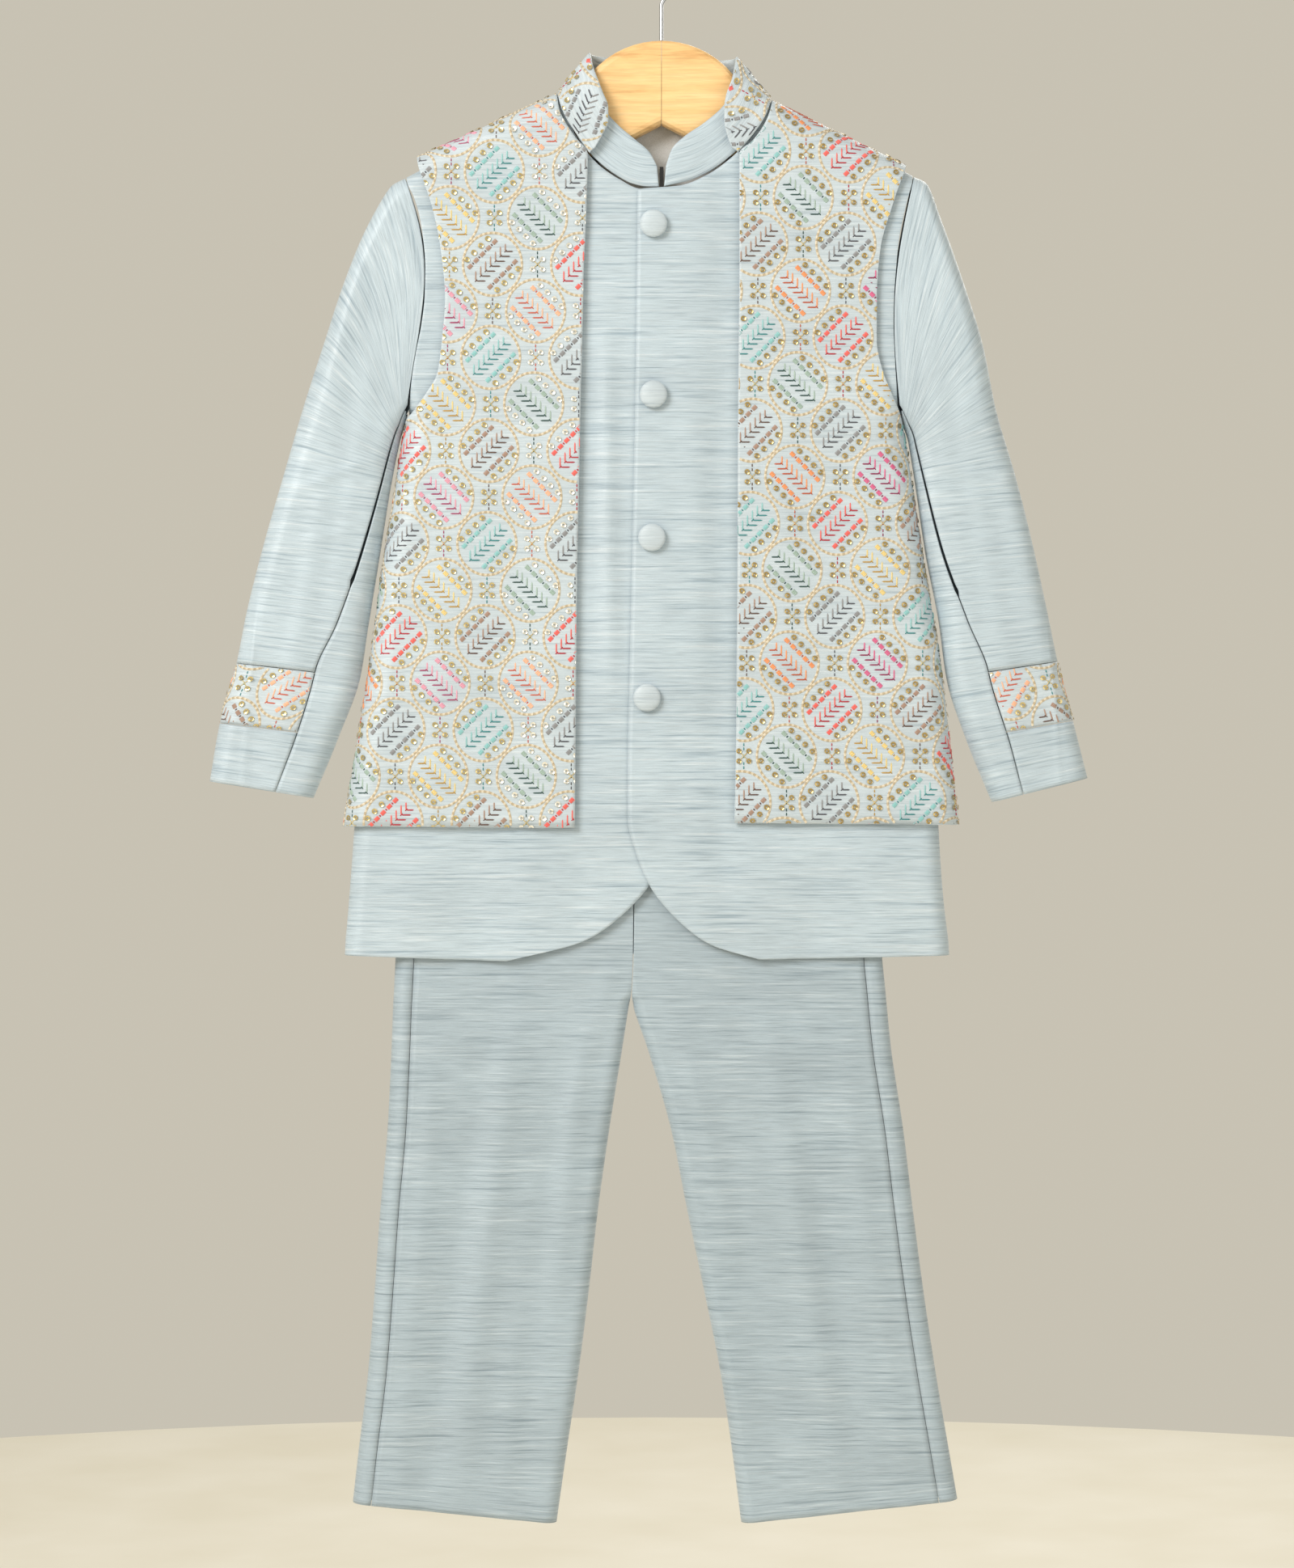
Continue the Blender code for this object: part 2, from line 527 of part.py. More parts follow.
def arm_outline(sign):
    """The hanger arm in the front view, from the top of the hump to the tip and back to the notch."""
    drop = REST + KURTA_WALL * 1.15
    centre_gap = REST / 2
    points = []
    for k in range(9):
        x = centre_gap + (46 - centre_gap) * k / 8
        points.append((x, HUMP_CENTRE + sqrt(HUMP_RADIUS**2 - x**2)))
    for x, lower in ((57, NECK_RELIEF), (66, NECK_RELIEF / 2), (80, 0), (110, 0), (ARM_TIP_X - 8, 0)):
        points.append((x, ridge_z(KURTA_RIDGES, sign * x) - drop - lower))
    tip_z = ridge_z(KURTA_RIDGES, sign * ARM_TIP_X) - drop
    points += [(ARM_TIP_X - 2, tip_z - 2), (ARM_TIP_X, tip_z - 7), (ARM_TIP_X - 2, tip_z - 20)]
    points += [(ARM_TIP_X - 10, tip_z - ARM_END_WIDTH), (ARM_UNDER_X, ARM_UNDER_Z), (centre_gap, NOTCH_Z)]
    return [(sign * x, z) for x, z in points]


def hanger_arm(name, sign, finish):
    bm = bmesh.new()
    outline = arm_outline(sign)
    if sign < 0:
        outline.reverse()
    verts = [bm.verts.new((x * MM, -WOOD_HALF * MM, z * MM)) for x, z in outline]
    face = bm.faces.new(verts)
    moved = bmesh.ops.extrude_face_region(bm, geom=[face])["geom"]
    bmesh.ops.translate(bm, vec=(0, 2 * WOOD_HALF * MM, 0),
                        verts=[g for g in moved if isinstance(g, bmesh.types.BMVert)])
    bmesh.ops.recalc_face_normals(bm, faces=bm.faces)
    rim = []
    for edge in bm.edges:
        a, b = edge.verts
        along_face = abs(a.co.y - b.co.y) < REST * MM
        at_middle = max(abs(a.co.x), abs(b.co.x)) < REST * MM
        if along_face and not at_middle:
            rim.append(edge)
    bmesh.ops.bevel(bm, geom=rim, offset=WOOD_EDGE * MM, offset_type="OFFSET", segments=3, profile=0.5,
                    affect="EDGES", clamp_overlap=True)
    mesh = bpy.data.meshes.new(name)
    bm.to_mesh(mesh)
    bm.free()
    mesh.shade_smooth()
    mesh.set_sharp_from_angle(angle=radians(40))
    place(name, mesh, finish)


def hanger_hook(finish):
    """A wire hook: a round crook, a short bend back to the middle and a straight shank."""
    middle = CROOK_INNER + WIRE_WIDTH / 2
    turns = [radians(205 - 265 * k / 22) for k in range(23)]
    points = [(middle * cos(t), middle * sin(t) - CROOK_INNER) for t in turns]
    last_x, last_z = points[-1]
    for k in range(1, 7):
        w = k / 6
        ease = w * w * (3 - 2 * w)
        points.append((last_x * (1 - ease), last_z + (SHANK_TOP - last_z) * w))
    points.append((0, HUMP_CENTRE + HUMP_RADIUS + REST))
    curve = bpy.data.curves.new("hanger_hook", "CURVE")
    curve.dimensions = "3D"
    curve.bevel_depth = WIRE_WIDTH / 2 * MM
    curve.bevel_resolution = 2
    curve.use_fill_caps = True
    spline = curve.splines.new("POLY")
    spline.points.add(len(points) - 1)
    for at, (x, z) in zip(spline.points, points):
        at.co = (x * MM, 0, z * MM, 1)
    obj = bpy.data.objects.new("hanger_hook", curve)
    bpy.data.collections[COLLECTION].objects.link(obj)
    curve.materials.append(finish)


COLLECTION = "kurta_set_on_hanger"
for old in list(bpy.data.objects):
    bpy.data.objects.remove(old)
bpy.context.scene.collection.children.link(bpy.data.collections.new(COLLECTION))

SILK = material("slub_silk", (0.55, 0.65, 0.71), 0.45)
TROUSER_SILK = material("trouser_silk", (0.42, 0.50, 0.54), 0.5)
EMBROIDERED = material("embroidered_silk", (0.56, 0.60, 0.60), 0.6)
LINING = material("white_lining", (0.85, 0.85, 0.83), 0.8)
BLACK = material("black_enamel", (0.02, 0.02, 0.02), 0.4)
WOOD = material("honey_wood", (0.82, 0.56, 0.32), 0.5)
STEEL = material("bright_steel", (0.7, 0.7, 0.7), 0.25, 1.0)

front_panel("kurta_front_right", KURTA_LEFT, KURTA_RIDGES, KURTA_DEPTH, KURTA_WALL, SILK,
            folds=KURTA_FOLDS)
front_panel("kurta_front_left", KURTA_RIGHT, KURTA_RIDGES, KURTA_DEPTH, KURTA_WALL, SILK,
            lift=kurta_lift)
back_panel("kurta_back", KURTA_LEFT, KURTA_RIGHT, KURTA_RIDGES, KURTA_DEPTH, KURTA_BACK_NECK, 9,
           KURTA_WALL, SILK)
front_panel("jacket_front_right", JACKET_LEFT, JACKET_RIDGES, JACKET_DEPTH, JACKET_WALL, EMBROIDERED)
front_panel("jacket_front_left", JACKET_RIGHT, JACKET_RIDGES, JACKET_DEPTH, JACKET_WALL, EMBROIDERED)
back_panel("jacket_back", JACKET_LEFT, JACKET_RIGHT, JACKET_RIDGES, JACKET_DEPTH, JACKET_BACK_NECK, 8,
           JACKET_WALL, EMBROIDERED)
sleeve("right", SLEEVE_LEFT, -1, 1.36, SILK, EMBROIDERED)
sleeve("left", SLEEVE_RIGHT, 1, 1, SILK, EMBROIDERED)
collar("kurta_collar", KURTA_COLLAR, KURTA_WALL, SILK)
collar("jacket_collar", JACKET_COLLAR, JACKET_WALL, EMBROIDERED)
back_lining(LINING)
trouser_half("right", LEG_LEFT, LEG_LEFT_FOLDS, TROUSER_SILK)
trouser_half("left", LEG_RIGHT, LEG_RIGHT_FOLDS, TROUSER_SILK)
waistband(TROUSER_SILK)
for number, spot in enumerate(BUTTONS, 1):
    front_face = KURTA_DEPTH + OVERLAP_LIFT + SEAM / 2
    ellipsoid(f"button_{number}", (spot.x, -front_face - REST - BUTTON_HEIGHT / 2, spot.z),
              (BUTTON_WIDTH, BUTTON_HEIGHT, BUTTON_WIDTH), EMBROIDERED)
collar_hook(BLACK)
hanger_arm("hanger_arm_right", -1, WOOD)
hanger_arm("hanger_arm_left", 1, WOOD)
hanger_hook(STEEL)
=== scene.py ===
"""The looks of a kurta, embroidered jacket and straight trousers on a wooden hanger.

Tables are in millimetres and are those of the construction. Left and right in them are as seen from the front.
"""

import random
from collections import namedtuple
from math import asin, cos, exp, hypot, pi, radians, sin, sqrt, acos

import bmesh
import bpy
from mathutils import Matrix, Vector
from mathutils.bvhtree import BVHTree
from mathutils.geometry import barycentric_transform


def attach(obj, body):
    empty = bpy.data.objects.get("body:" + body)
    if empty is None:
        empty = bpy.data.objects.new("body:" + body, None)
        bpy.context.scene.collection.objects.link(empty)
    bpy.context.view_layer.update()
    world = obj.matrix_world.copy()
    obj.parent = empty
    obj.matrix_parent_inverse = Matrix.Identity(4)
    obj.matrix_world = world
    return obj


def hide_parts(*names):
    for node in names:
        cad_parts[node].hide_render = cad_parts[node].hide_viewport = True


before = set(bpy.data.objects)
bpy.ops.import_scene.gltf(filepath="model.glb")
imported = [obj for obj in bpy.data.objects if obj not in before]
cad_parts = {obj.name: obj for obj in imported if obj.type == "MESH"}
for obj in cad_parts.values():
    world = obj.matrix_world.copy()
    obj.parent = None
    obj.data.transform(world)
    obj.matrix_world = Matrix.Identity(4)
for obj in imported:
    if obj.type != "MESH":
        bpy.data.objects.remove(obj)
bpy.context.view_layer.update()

MM = 0.001
SEAM = 0.3
REST = 0.3
KURTA_WALL = 1.2
JACKET_WALL = 1.6
TROUSER_WALL = 1.2
KURTA_DEPTH = 12.0
JACKET_DEPTH = 16.0
OVERLAP_LIFT = 1.8
OVERLAP_EDGE = 22.0
OVERLAP_END = 40.0
FULL_ROLL = 90.0

# The shoulder lines, from the neck to the tip
Ridge = namedtuple("Ridge", "neck_x neck_z tip_x tip_z")
KURTA_RIDGES = (Ridge(-60.5, -102.8, -158.5, -155.0), Ridge(64.0, -107.2, 156.0, -154.0))
JACKET_RIDGES = (Ridge(-65.0, -102.7, -152.0, -142.5), Ridge(68.5, -107.0, 152.0, -147.5))
KURTA_BACK_NECK = -112.0
JACKET_BACK_NECK = -111.0

# A row of a front panel, from its inner edge to its armhole or side seam
Row = namedtuple("Row", "inner_x inner_z outer_x outer_z roll")
KURTA_LEFT = (
    Row(-60.5, -102.8, -158.5, -155.0, 12), Row(-60.2, -109, -157.3, -160.5, 12),
    Row(-58.5, -117, -153.5, -168.5, 12), Row(-55, -127, -150, -180, 12),
    Row(-48.5, -138, -147.5, -195, 12), Row(-40, -148, -146.2, -212, 12),
    Row(-26, -158, -146.6, -230, 12), Row(-12, -164, -148.5, -247, 12),
    Row(11, -164.5, -152.2, -266, 12), Row(11, -200, -154.6, -281, 16),
    Row(10.7, -235, -156, -294, 35), Row(10.3, -255, -156.6, -300.5, 60),
    Row(10, -270, -156.8, -304, 90), Row(9, -330, -158.8, -335, 90),
    Row(8, -400, -170.2, -400, 90), Row(7, -460, -178, -460, 90),
    Row(6, -520, -186, -520, 90), Row(5.5, -553, -190.6, -553, 90),
    Row(3.5, -575, -192.3, -577, 90), Row(-7.5, -595, -194, -599, 90),
    Row(-29, -617.5, -195.5, -618, 90), Row(-49, -630, -196.6, -630, 90),
    Row(-96, -642, -197, -638.5, 90))
KURTA_RIGHT = (
    Row(64, -107.2, 156, -154, 12), Row(63.4, -113, 155.3, -159.5, 12),
    Row(61.5, -120, 152.8, -168.5, 12), Row(58, -128, 150, -180, 12),
    Row(51, -137, 147, -195, 12), Row(42, -145.5, 145.3, -212, 12),
    Row(28, -155.5, 144, -230, 12), Row(12, -162, 143.6, -247, 12),
    Row(-14.8, -165, 144.3, -266, 12), Row(-15.2, -200, 145.2, -281, 16),
    Row(-15.6, -235, 146.2, -294, 35), Row(-15.8, -255, 146.8, -300.5, 60),
    Row(-16, -270, 147, -304, 90), Row(-17, -330, 148.5, -338, 90),
    Row(-18.5, -400, 156, -400, 90), Row(-19.8, -460, 164.2, -460, 90),
    Row(-21, -520, 169.8, -520, 90), Row(-21, -553, 172, -553, 90),
    Row(-16.5, -573, 173.4, -577, 90), Row(-7.5, -595, 175, -599, 90),
    Row(11, -617.5, 177, -618, 90), Row(31, -632, 178.5, -630, 90),
    Row(61, -641, 179, -638.5, 90))
JACKET_LEFT = (
    Row(-65, -102.7, -152, -142.5, 12), Row(-64.5, -108, -150.5, -150, 12),
    Row(-63, -116, -146.5, -161.5, 12), Row(-59, -124, -141.5, -177, 12),
    Row(-53, -133, -136.5, -202, 12), Row(-45.5, -144, -133.8, -232, 12),
    Row(-46.5, -180, -135.5, -255.5, 12), Row(-48, -215, -138.5, -278, 12),
    Row(-48.6, -245, -145, -290, 12), Row(-49.3, -272, -154, -302, 36),
    Row(-49.7, -285, -158.3, -307, 52), Row(-50, -298, -160.2, -313, 90),
    Row(-51, -350, -166, -351, 90), Row(-52, -397, -173.5, -397, 90),
    Row(-52.6, -450, -180.5, -450, 90), Row(-53, -500, -188.3, -500, 90),
    Row(-53.5, -559.5, -198, -558.5, 90))
JACKET_RIGHT = (
    Row(68.5, -107, 152, -147.5, 12), Row(68, -112, 150.5, -153, 12),
    Row(66, -119, 147.2, -161.5, 12), Row(62, -127, 142, -177, 12),
    Row(56, -135, 135.2, -202, 12), Row(48, -143.5, 133, -232, 12),
    Row(48, -180, 133, -258, 12), Row(48, -215, 137, -278, 12),
    Row(47.8, -245, 142, -290, 25), Row(47.5, -272, 147.5, -302, 50),
    Row(47.3, -285, 149.5, -308, 66), Row(47.2, -298, 151, -314, 90),
    Row(47, -347, 156, -347, 90), Row(46.8, -397, 163.6, -397, 90),
    Row(46.4, -450, 172.6, -450, 90), Row(46, -500, 178.6, -500, 90),
    Row(45, -556.5, 185, -557.5, 90))

# A ring of a sleeve, from its inner fold to its outer fold, with the front seam as a share of the width
Ring = namedtuple("Ring", "inner_x inner_z outer_x outer_z depth bow seam")
SLEEVE_LEFT = (
    Ring(-157.8, -304.4, -159.4, -155.6, 12, 12, 0.04), Ring(-158.6, -306.5, -167, -159.5, 12.3, 10, 0.04),
    Ring(-159.6, -309, -183, -185.5, 12.8, 7, 0.04), Ring(-160.8, -312.5, -197.5, -220.5, 13.2, 4, 0.04),
    Ring(-162.4, -318, -211, -261.5, 13.5, 2, 0.05), Ring(-164.4, -327, -222, -295.5, 13.5, 0, 0.06),
    Ring(-168.8, -350, -235, -340, 13.5, 0, 0.08), Ring(-175, -389, -247, -381.5, 13.5, 0, 0.14),
    Ring(-182.5, -435, -258, -425, 13.5, 0, 0.24), Ring(-187.5, -466.5, -264.5, -457.5, 13, 0, 0.35),
    Ring(-201, -503.5, -274.8, -494.5, 12.5, 0, 0.33), Ring(-216.5, -541, -281, -530.5, 12, 0, 0.35))
SLEEVE_RIGHT = (
    Ring(148.2, -304.4, 156.9, -154.7, 12, 8, 0.04), Ring(149, -306.5, 164.5, -158.5, 12.3, 7, 0.04),
    Ring(150, -309, 174.5, -183, 12.8, 5, 0.04), Ring(151.4, -312.5, 187, -218, 13.2, 3, 0.04),
    Ring(153.2, -318, 200, -259.5, 13.5, 1, 0.05), Ring(154.8, -327, 208, -299, 13.5, 0, 0.06),
    Ring(158, -347, 220, -340, 13.5, 0, 0.08), Ring(164.2, -389, 230.5, -381.5, 13.5, 0, 0.14),
    Ring(172.4, -431, 240, -425, 13.5, 0, 0.24), Ring(177.4, -467, 246.5, -456.5, 13, 0, 0.36),
    Ring(189.5, -504.5, 256, -493, 12.5, 0, 0.36), Ring(205.5, -543.5, 265, -528.5, 12, 0, 0.31))
BAND_TOP = 9
BAND_END = 10
UNDERARM_GAP = 1.8

# A row of one trouser leg, from the rise seam or inner fold to the outer fold
LegRow = namedtuple("LegRow", "inner_x inner_z outer_x outer_z depth roll")
LEG_LEFT = (
    LegRow(-17.2, -455.8, -149, -455.8, 10.2, 12), LegRow(-17.2, -497.5, -156.5, -497.5, 8.8, 12),
    LegRow(-17.3, -572.5, -163, -572.5, 8, 12), LegRow(-17.8, -640, -165.5, -640, 8, 12),
    LegRow(-18.9, -662, -166.5, -662, 8, 35), LegRow(-20.4, -671, -167, -670, 8, 90),
    LegRow(-24.5, -697.5, -168, -697.5, 8.5, 90), LegRow(-32.5, -747.5, -170.5, -747.5, 9, 90),
    LegRow(-39.5, -797.5, -175, -797.5, 9, 90), LegRow(-45.2, -847.5, -178.5, -847.5, 9, 90),
    LegRow(-51.5, -897.5, -182.5, -897.5, 9, 90), LegRow(-59, -947.5, -188.5, -947.5, 9, 90),
    LegRow(-65.2, -991, -192, -978.5, 9, 90))
LEG_RIGHT = (
    LegRow(-16.7, -455.8, 106, -455.8, 10.2, 12), LegRow(-16.7, -497.5, 118.5, -497.5, 8.8, 12),
    LegRow(-16.8, -572.5, 131, -572.5, 8, 12), LegRow(-17.3, -640, 137.5, -642.5, 8, 12),
    LegRow(-18.3, -662, 139.5, -662, 8, 35), LegRow(-17.3, -671, 140.3, -671, 8, 90),
    LegRow(-8.5, -697.5, 143, -697.5, 8.5, 90), LegRow(6, -747.5, 150.5, -747.5, 9, 90),
    LegRow(16, -797.5, 156.5, -797.5, 9, 90), LegRow(26.5, -847.5, 163, -847.5, 9, 90),
    LegRow(36.5, -897.5, 170.5, -897.5, 9, 90), LegRow(44, -947.5, 179, -947.5, 9, 90),
    LegRow(49.5, -991, 184, -976.5, 9, 90))
SIDE_SEAM_IN = 12.0
WAIST_TOP = -430.0
WAIST_END = -455.2
WAIST_LEFT = -147.0
WAIST_RIGHT = 103.0

# Soft folds, each a ridge or, where its height is below nothing, a trough
Fold = namedtuple("Fold", "top_x top_z end_x end_z width height")
KURTA_FOLDS = (
    Fold(-34, -250, -31, -480, 4.5, 2.0), Fold(-43, -215, -46, -520, 7, -0.8), Fold(-24, -200, -20, -560, 6, -0.5),
    Fold(14, -190, 24, -470, 9, 0.7), Fold(36, -260, 30, -600, 8, -0.6), Fold(-2, -330, 0, -560, 6, 0.5),
    Fold(-152, -545, -160, -720, 15, 1.5), Fold(-118, -550, -120, -720, 13, -1.2),
    Fold(-84, -550, -90, -720, 12, 1.3), Fold(-52, -550, -50, -700, 9, -0.8),
    Fold(52, -550, 60, -720, 12, 1.2), Fold(92, -550, 98, -720, 13, -1.2), Fold(130, -550, 140, -720, 14, 1.5))
KURTA_BACK_FOLDS = (
    Fold(-96, -190, -112, -720, 18, 1.4), Fold(-52, -230, -60, -720, 14, -1.2), Fold(-8, -200, -4, -720, 15, 1.1),
    Fold(38, -220, 46, -720, 15, -1.2), Fold(84, -190, 104, -720, 17, 1.5), Fold(128, -330, 146, -720, 12, -1.0),
    Fold(-136, -330, -160, -720, 12, -1.0))
JACKET_FOLDS = (
    Fold(-120, -300, -150, -640, 12, 0.9), Fold(-88, -260, -98, -640, 14, -0.7), Fold(-66, -330, -70, -640, 9, 0.6),
    Fold(74, -240, 72, -640, 11, 0.7), Fold(104, -280, 110, -640, 14, -0.7), Fold(134, -320, 150, -640, 11, 0.9))
JACKET_BACK_FOLDS = (
    Fold(-100, -170, -124, -640, 18, 1.3), Fold(-58, -200, -66, -640, 14, -1.0), Fold(-10, -180, -12, -640, 16, 1.0),
    Fold(40, -190, 48, -640, 15, -1.0), Fold(86, -170, 108, -640, 17, 1.2))
LEG_LEFT_FOLDS = (
    Fold(-88, -655, -128, -985, 9, 2.6), Fold(-48, -665, -66, -860, 7, 2.0), Fold(-140, -680, -152, -860, 7, 1.6),
    Fold(-112, -690, -150, -1010, 8, -1.4), Fold(-66, -700, -88, -1010, 9, -1.2),
    Fold(-30, -640, -58, -742, 5, 1.0), Fold(-150, -800, -166, -1010, 6, 1.2), Fold(-92, -860, -96, -1010, 7, 1.0))
LEG_RIGHT_FOLDS = (
    Fold(62, -655, 112, -985, 9, 2.6), Fold(12, -668, 44, -830, 7, 2.0), Fold(112, -680, 132, -860, 7, 1.6),
    Fold(84, -700, 132, -1010, 8, -1.4), Fold(40, -720, 76, -1010, 9, -1.2), Fold(-4, -640, 24, -738, 5, 1.0),
    Fold(128, -790, 156, -1010, 6, 1.2), Fold(84, -870, 92, -1010, 7, 1.0))
SLEEVE_LEFT_FOLDS = (
    Fold(-188, -190, -244, -560, 9, 1.7), Fold(-206, -300, -236, -470, 7, -1.0), Fold(-176, -250, -208, -460, 6, 0.9),
    Fold(-176, -330, -228, -352, 6, 1.1), Fold(-186, -372, -236, -388, 6, 0.9))
SLEEVE_RIGHT_FOLDS = (
    Fold(176, -190, 228, -560, 9, 1.7), Fold(194, -300, 222, -470, 7, -1.0), Fold(164, -250, 196, -460, 6, 0.9),
    Fold(164, -330, 214, -352, 6, 1.1), Fold(176, -376, 226, -392, 6, 0.9))
# Creases pressed into the cuffs and sleeves
LEFT_CREASES = (Fold(-248, -380, -262, -580, 1.6, 0.8),)
RIGHT_CREASES = (Fold(236, -380, 250, -580, 1.6, 0.8),)

# A station of a collar, from its seam at the neck to its upper edge
Station = namedtuple("Station", "base_x base_y base_z top_x top_y top_z")
KURTA_COLLAR = (
    Station(-1.6, -12.6, -162.6, -2.6, -11.8, -150), Station(-9, -12.6, -162.5, -7.5, -11.4, -141),
    Station(-18, -12.3, -160.6, -16.5, -10.8, -133), Station(-31, -12, -153.3, -27, -10.4, -124),
    Station(-42.2, -12, -143.8, -36.5, -10.2, -113), Station(-51, -12, -133, -42, -9.8, -103),
    Station(-57, -11.9, -118.5, -45, -8.4, -94.5), Station(-59.2, -9.4, -107, -47, -4.7, -90.5),
    Station(-59.6, 0, -101.8, -47.5, 0, -89.5), Station(-58, 8.6, -104, -46, 5.4, -89),
    Station(-53.5, 11.6, -107, -42, 8.2, -88.4), Station(-46, 12, -109.8, -34, 9.8, -87.6),
    Station(-28, 12, -111, -22, 10.3, -87.5),
    Station(0, 12, -111, 0, 10.4, -87.5), Station(28, 12, -111, 23, 10.3, -89),
    Station(49, 12, -110.2, 37, 9.8, -90.4), Station(56.5, 11.2, -108.6, 44.5, 8, -91.6),
    Station(61, 8, -107.2, 48.5, 5.2, -93),
    Station(63, 0, -105.8, 50, 0, -94), Station(62.4, -9.4, -111, 49.5, -4.7, -95),
    Station(60.2, -11.9, -121, 47, -8.4, -98), Station(53, -12, -133, 43, -9.8, -105),
    Station(43, -12, -143, 37.5, -10.2, -113), Station(30, -12, -152.6, 26, -10.4, -123),
    Station(18, -13, -158.4, 14.5, -11.4, -131), Station(8, -13.3, -161, 6.5, -12, -139),
    Station(1.6, -13.3, -162.4, 2.6, -12.4, -150))
JACKET_COLLAR = (
    Station(-44.6, -16.2, -142.4, -41.5, -17, -139.5), Station(-48.4, -16.2, -136.8, -36.5, -16.9, -131),
    Station(-53.4, -16.2, -129.4, -32.8, -16.4, -122), Station(-58.6, -16.1, -121.4, -33, -15.7, -113.5),
    Station(-62, -15.4, -113.8, -36.5, -14.5, -104), Station(-63.8, -13, -107.2, -40, -12.3, -94.5),
    Station(-64, -8, -103.2, -42.8, -8, -86.5), Station(-64, 0, -101.2, -45, 0, -77),
    Station(-63, 9, -103.2, -43.5, 7, -77), Station(-59.5, 13, -105.2, -40, 10.5, -77.2),
    Station(-53, 15.6, -107.6, -34, 13, -77.5), Station(-29, 16.2, -110, -20, 14.8, -78.5),
    Station(0, 16.2, -110.2, 0, 15.2, -79), Station(30, 16.2, -110, 20, 14.8, -79.5),
    Station(57, 15.6, -109, 35, 13, -79.5), Station(63.5, 12, -107.4, 42, 10.5, -79.5),
    Station(66.6, 8, -106.4, 45.5, 7, -79.5), Station(67.6, 0, -105.4, 47, 0, -79.5),
    Station(67.4, -8, -107.4, 45.5, -8, -88), Station(67, -13, -111.4, 43.5, -12.3, -96),
    Station(65, -15.4, -117.4, 40, -14.5, -106), Station(61, -16.1, -124.6, 38.6, -15.7, -115),
    Station(55.4, -16.2, -132.2, 38.8, -16.4, -123), Station(50.6, -16.2, -138, 40.6, -16.9, -131.5),
    Station(47.2, -16.2, -141.8, 43.4, -17, -139))

Place = namedtuple("Place", "x z")
BUTTONS = (Place(-5, -186), Place(-5, -291.5), Place(-6, -380), Place(-9, -479))
BUTTON_WIDTH = 17.0
BUTTON_HEIGHT = 5.4

WIRE_WIDTH = 2.7
CROOK_INNER = 17.0
SHANK_TOP = -48.0
SHANK_END = -69.7


def row_at(table, v):
    """The row of the table at v, which counts rows. Each column is eased, and never passes its own values."""
    k = min(int(v), len(table) - 2)
    w = v - k
    values = []
    for column in zip(*table):
        here = column[k + 1] - column[k]
        before = column[k] - column[k - 1] if k > 0 else here
        after = column[k + 2] - column[k + 1] if k + 2 < len(column) else here
        start = 2 * before * here / (before + here) if before * here > 0 else 0
        end = 2 * here * after / (here + after) if here * after > 0 else 0
        values.append(column[k] + start * (w - 2 * w**2 + w**3) + here * (3 * w**2 - 2 * w**3)
                      + end * (w**3 - w**2))
    return type(table[0])(*values)


def remembered(table):
    """row_at for one table, which works each row out once."""
    kept = {}

    def look(v):
        if v not in kept:
            kept[v] = row_at(table, v)
        return kept[v]
    return look


def ridge_z(ridges, x):
    ridge = ridges[0] if x < 0 else ridges[1]
    slope = (ridge.tip_z - ridge.neck_z) / (ridge.tip_x - ridge.neck_x)
    return ridge.neck_z + slope * (x - ridge.neck_x)


def body_depth(ridges, full, x, z):
    """Half the depth at a point: nothing on the shoulder line, and full once it has rounded over."""
    below = max(0.0, ridge_z(ridges, x) - z)
    if below >= full:
        return full
    return sqrt(full**2 - (full - below) ** 2)


def unrolled_z(ridges, full, x, z):
    """Where a point lies on the flat cloth, with the round of the shoulder laid out."""
    top = ridge_z(ridges, x)
    below = max(0.0, top - z)
    if below >= full:
        return z
    return top - full + full * (pi / 2 - acos((full - below) / full))


def bulge(folds, x, z):
    """How far the folds stand out at a point."""
    out = 0.0
    for fold in folds:
        share = (z - fold.top_z) / (fold.end_z - fold.top_z)
        if 0 < share < 1:
            middle = fold.top_x + share * (fold.end_x - fold.top_x)
            out += fold.height * sin(pi * share) ** 0.6 * exp(-(((x - middle) / fold.width) ** 2))
    return out


Section = namedtuple("Section", "ax az bx bz roll_a roll_b radius bow skew", defaults=(0, 1))
Spot = namedtuple("Spot", "x z full arc flat_x flat_z")


def across(section, s):
    """The spot at s. From -1 to 0 it rolls from edge a, from 0 to 1 it is flat, and from 1 to 2 it rolls to
    edge b. arc is its distance from edge a along the cloth, and flat_x and flat_z are where it is unrolled."""
    width = hypot(section.bx - section.ax, section.bz - section.az)
    way_x = (section.bx - section.ax) / width
    way_z = (section.bz - section.az) / width
    roll_a = radians(section.roll_a)
    roll_b = radians(section.roll_b)
    start = section.radius * sin(roll_a)
    end = width - section.radius * sin(roll_b)
    full = 1.0
    if s < 0:
        at = start - section.radius * sin(-s * roll_a)
        laid = start + s * roll_a * section.radius
        full = cos(-s * roll_a)
    elif s > 1:
        at = end + section.radius * sin((s - 1) * roll_b)
        laid = end + (s - 1) * roll_b * section.radius
        full = cos((s - 1) * roll_b)
    else:
        at = laid = start + (end - start) * s
    share = min(1.0, max(0.0, at / width))
    aside = section.bow * sin(pi * share**section.skew)
    return Spot(section.ax + way_x * at - way_z * aside, section.az + way_z * at + way_x * aside, full, laid,
                section.ax + way_x * laid, section.az + way_z * laid)


def station_at(section, share):
    """The s of a seam that lies at this share of the width from edge a, where that edge is a fold."""
    width = hypot(section.bx - section.ax, section.bz - section.az)
    at = share * width
    if at < section.radius:
        return -asin(1 - at / section.radius) / radians(FULL_ROLL)
    return (at - section.radius) / (width - 2 * section.radius)


def steps(start, end, count):
    return [start + (end - start) * k / count for k in range(count + 1)]


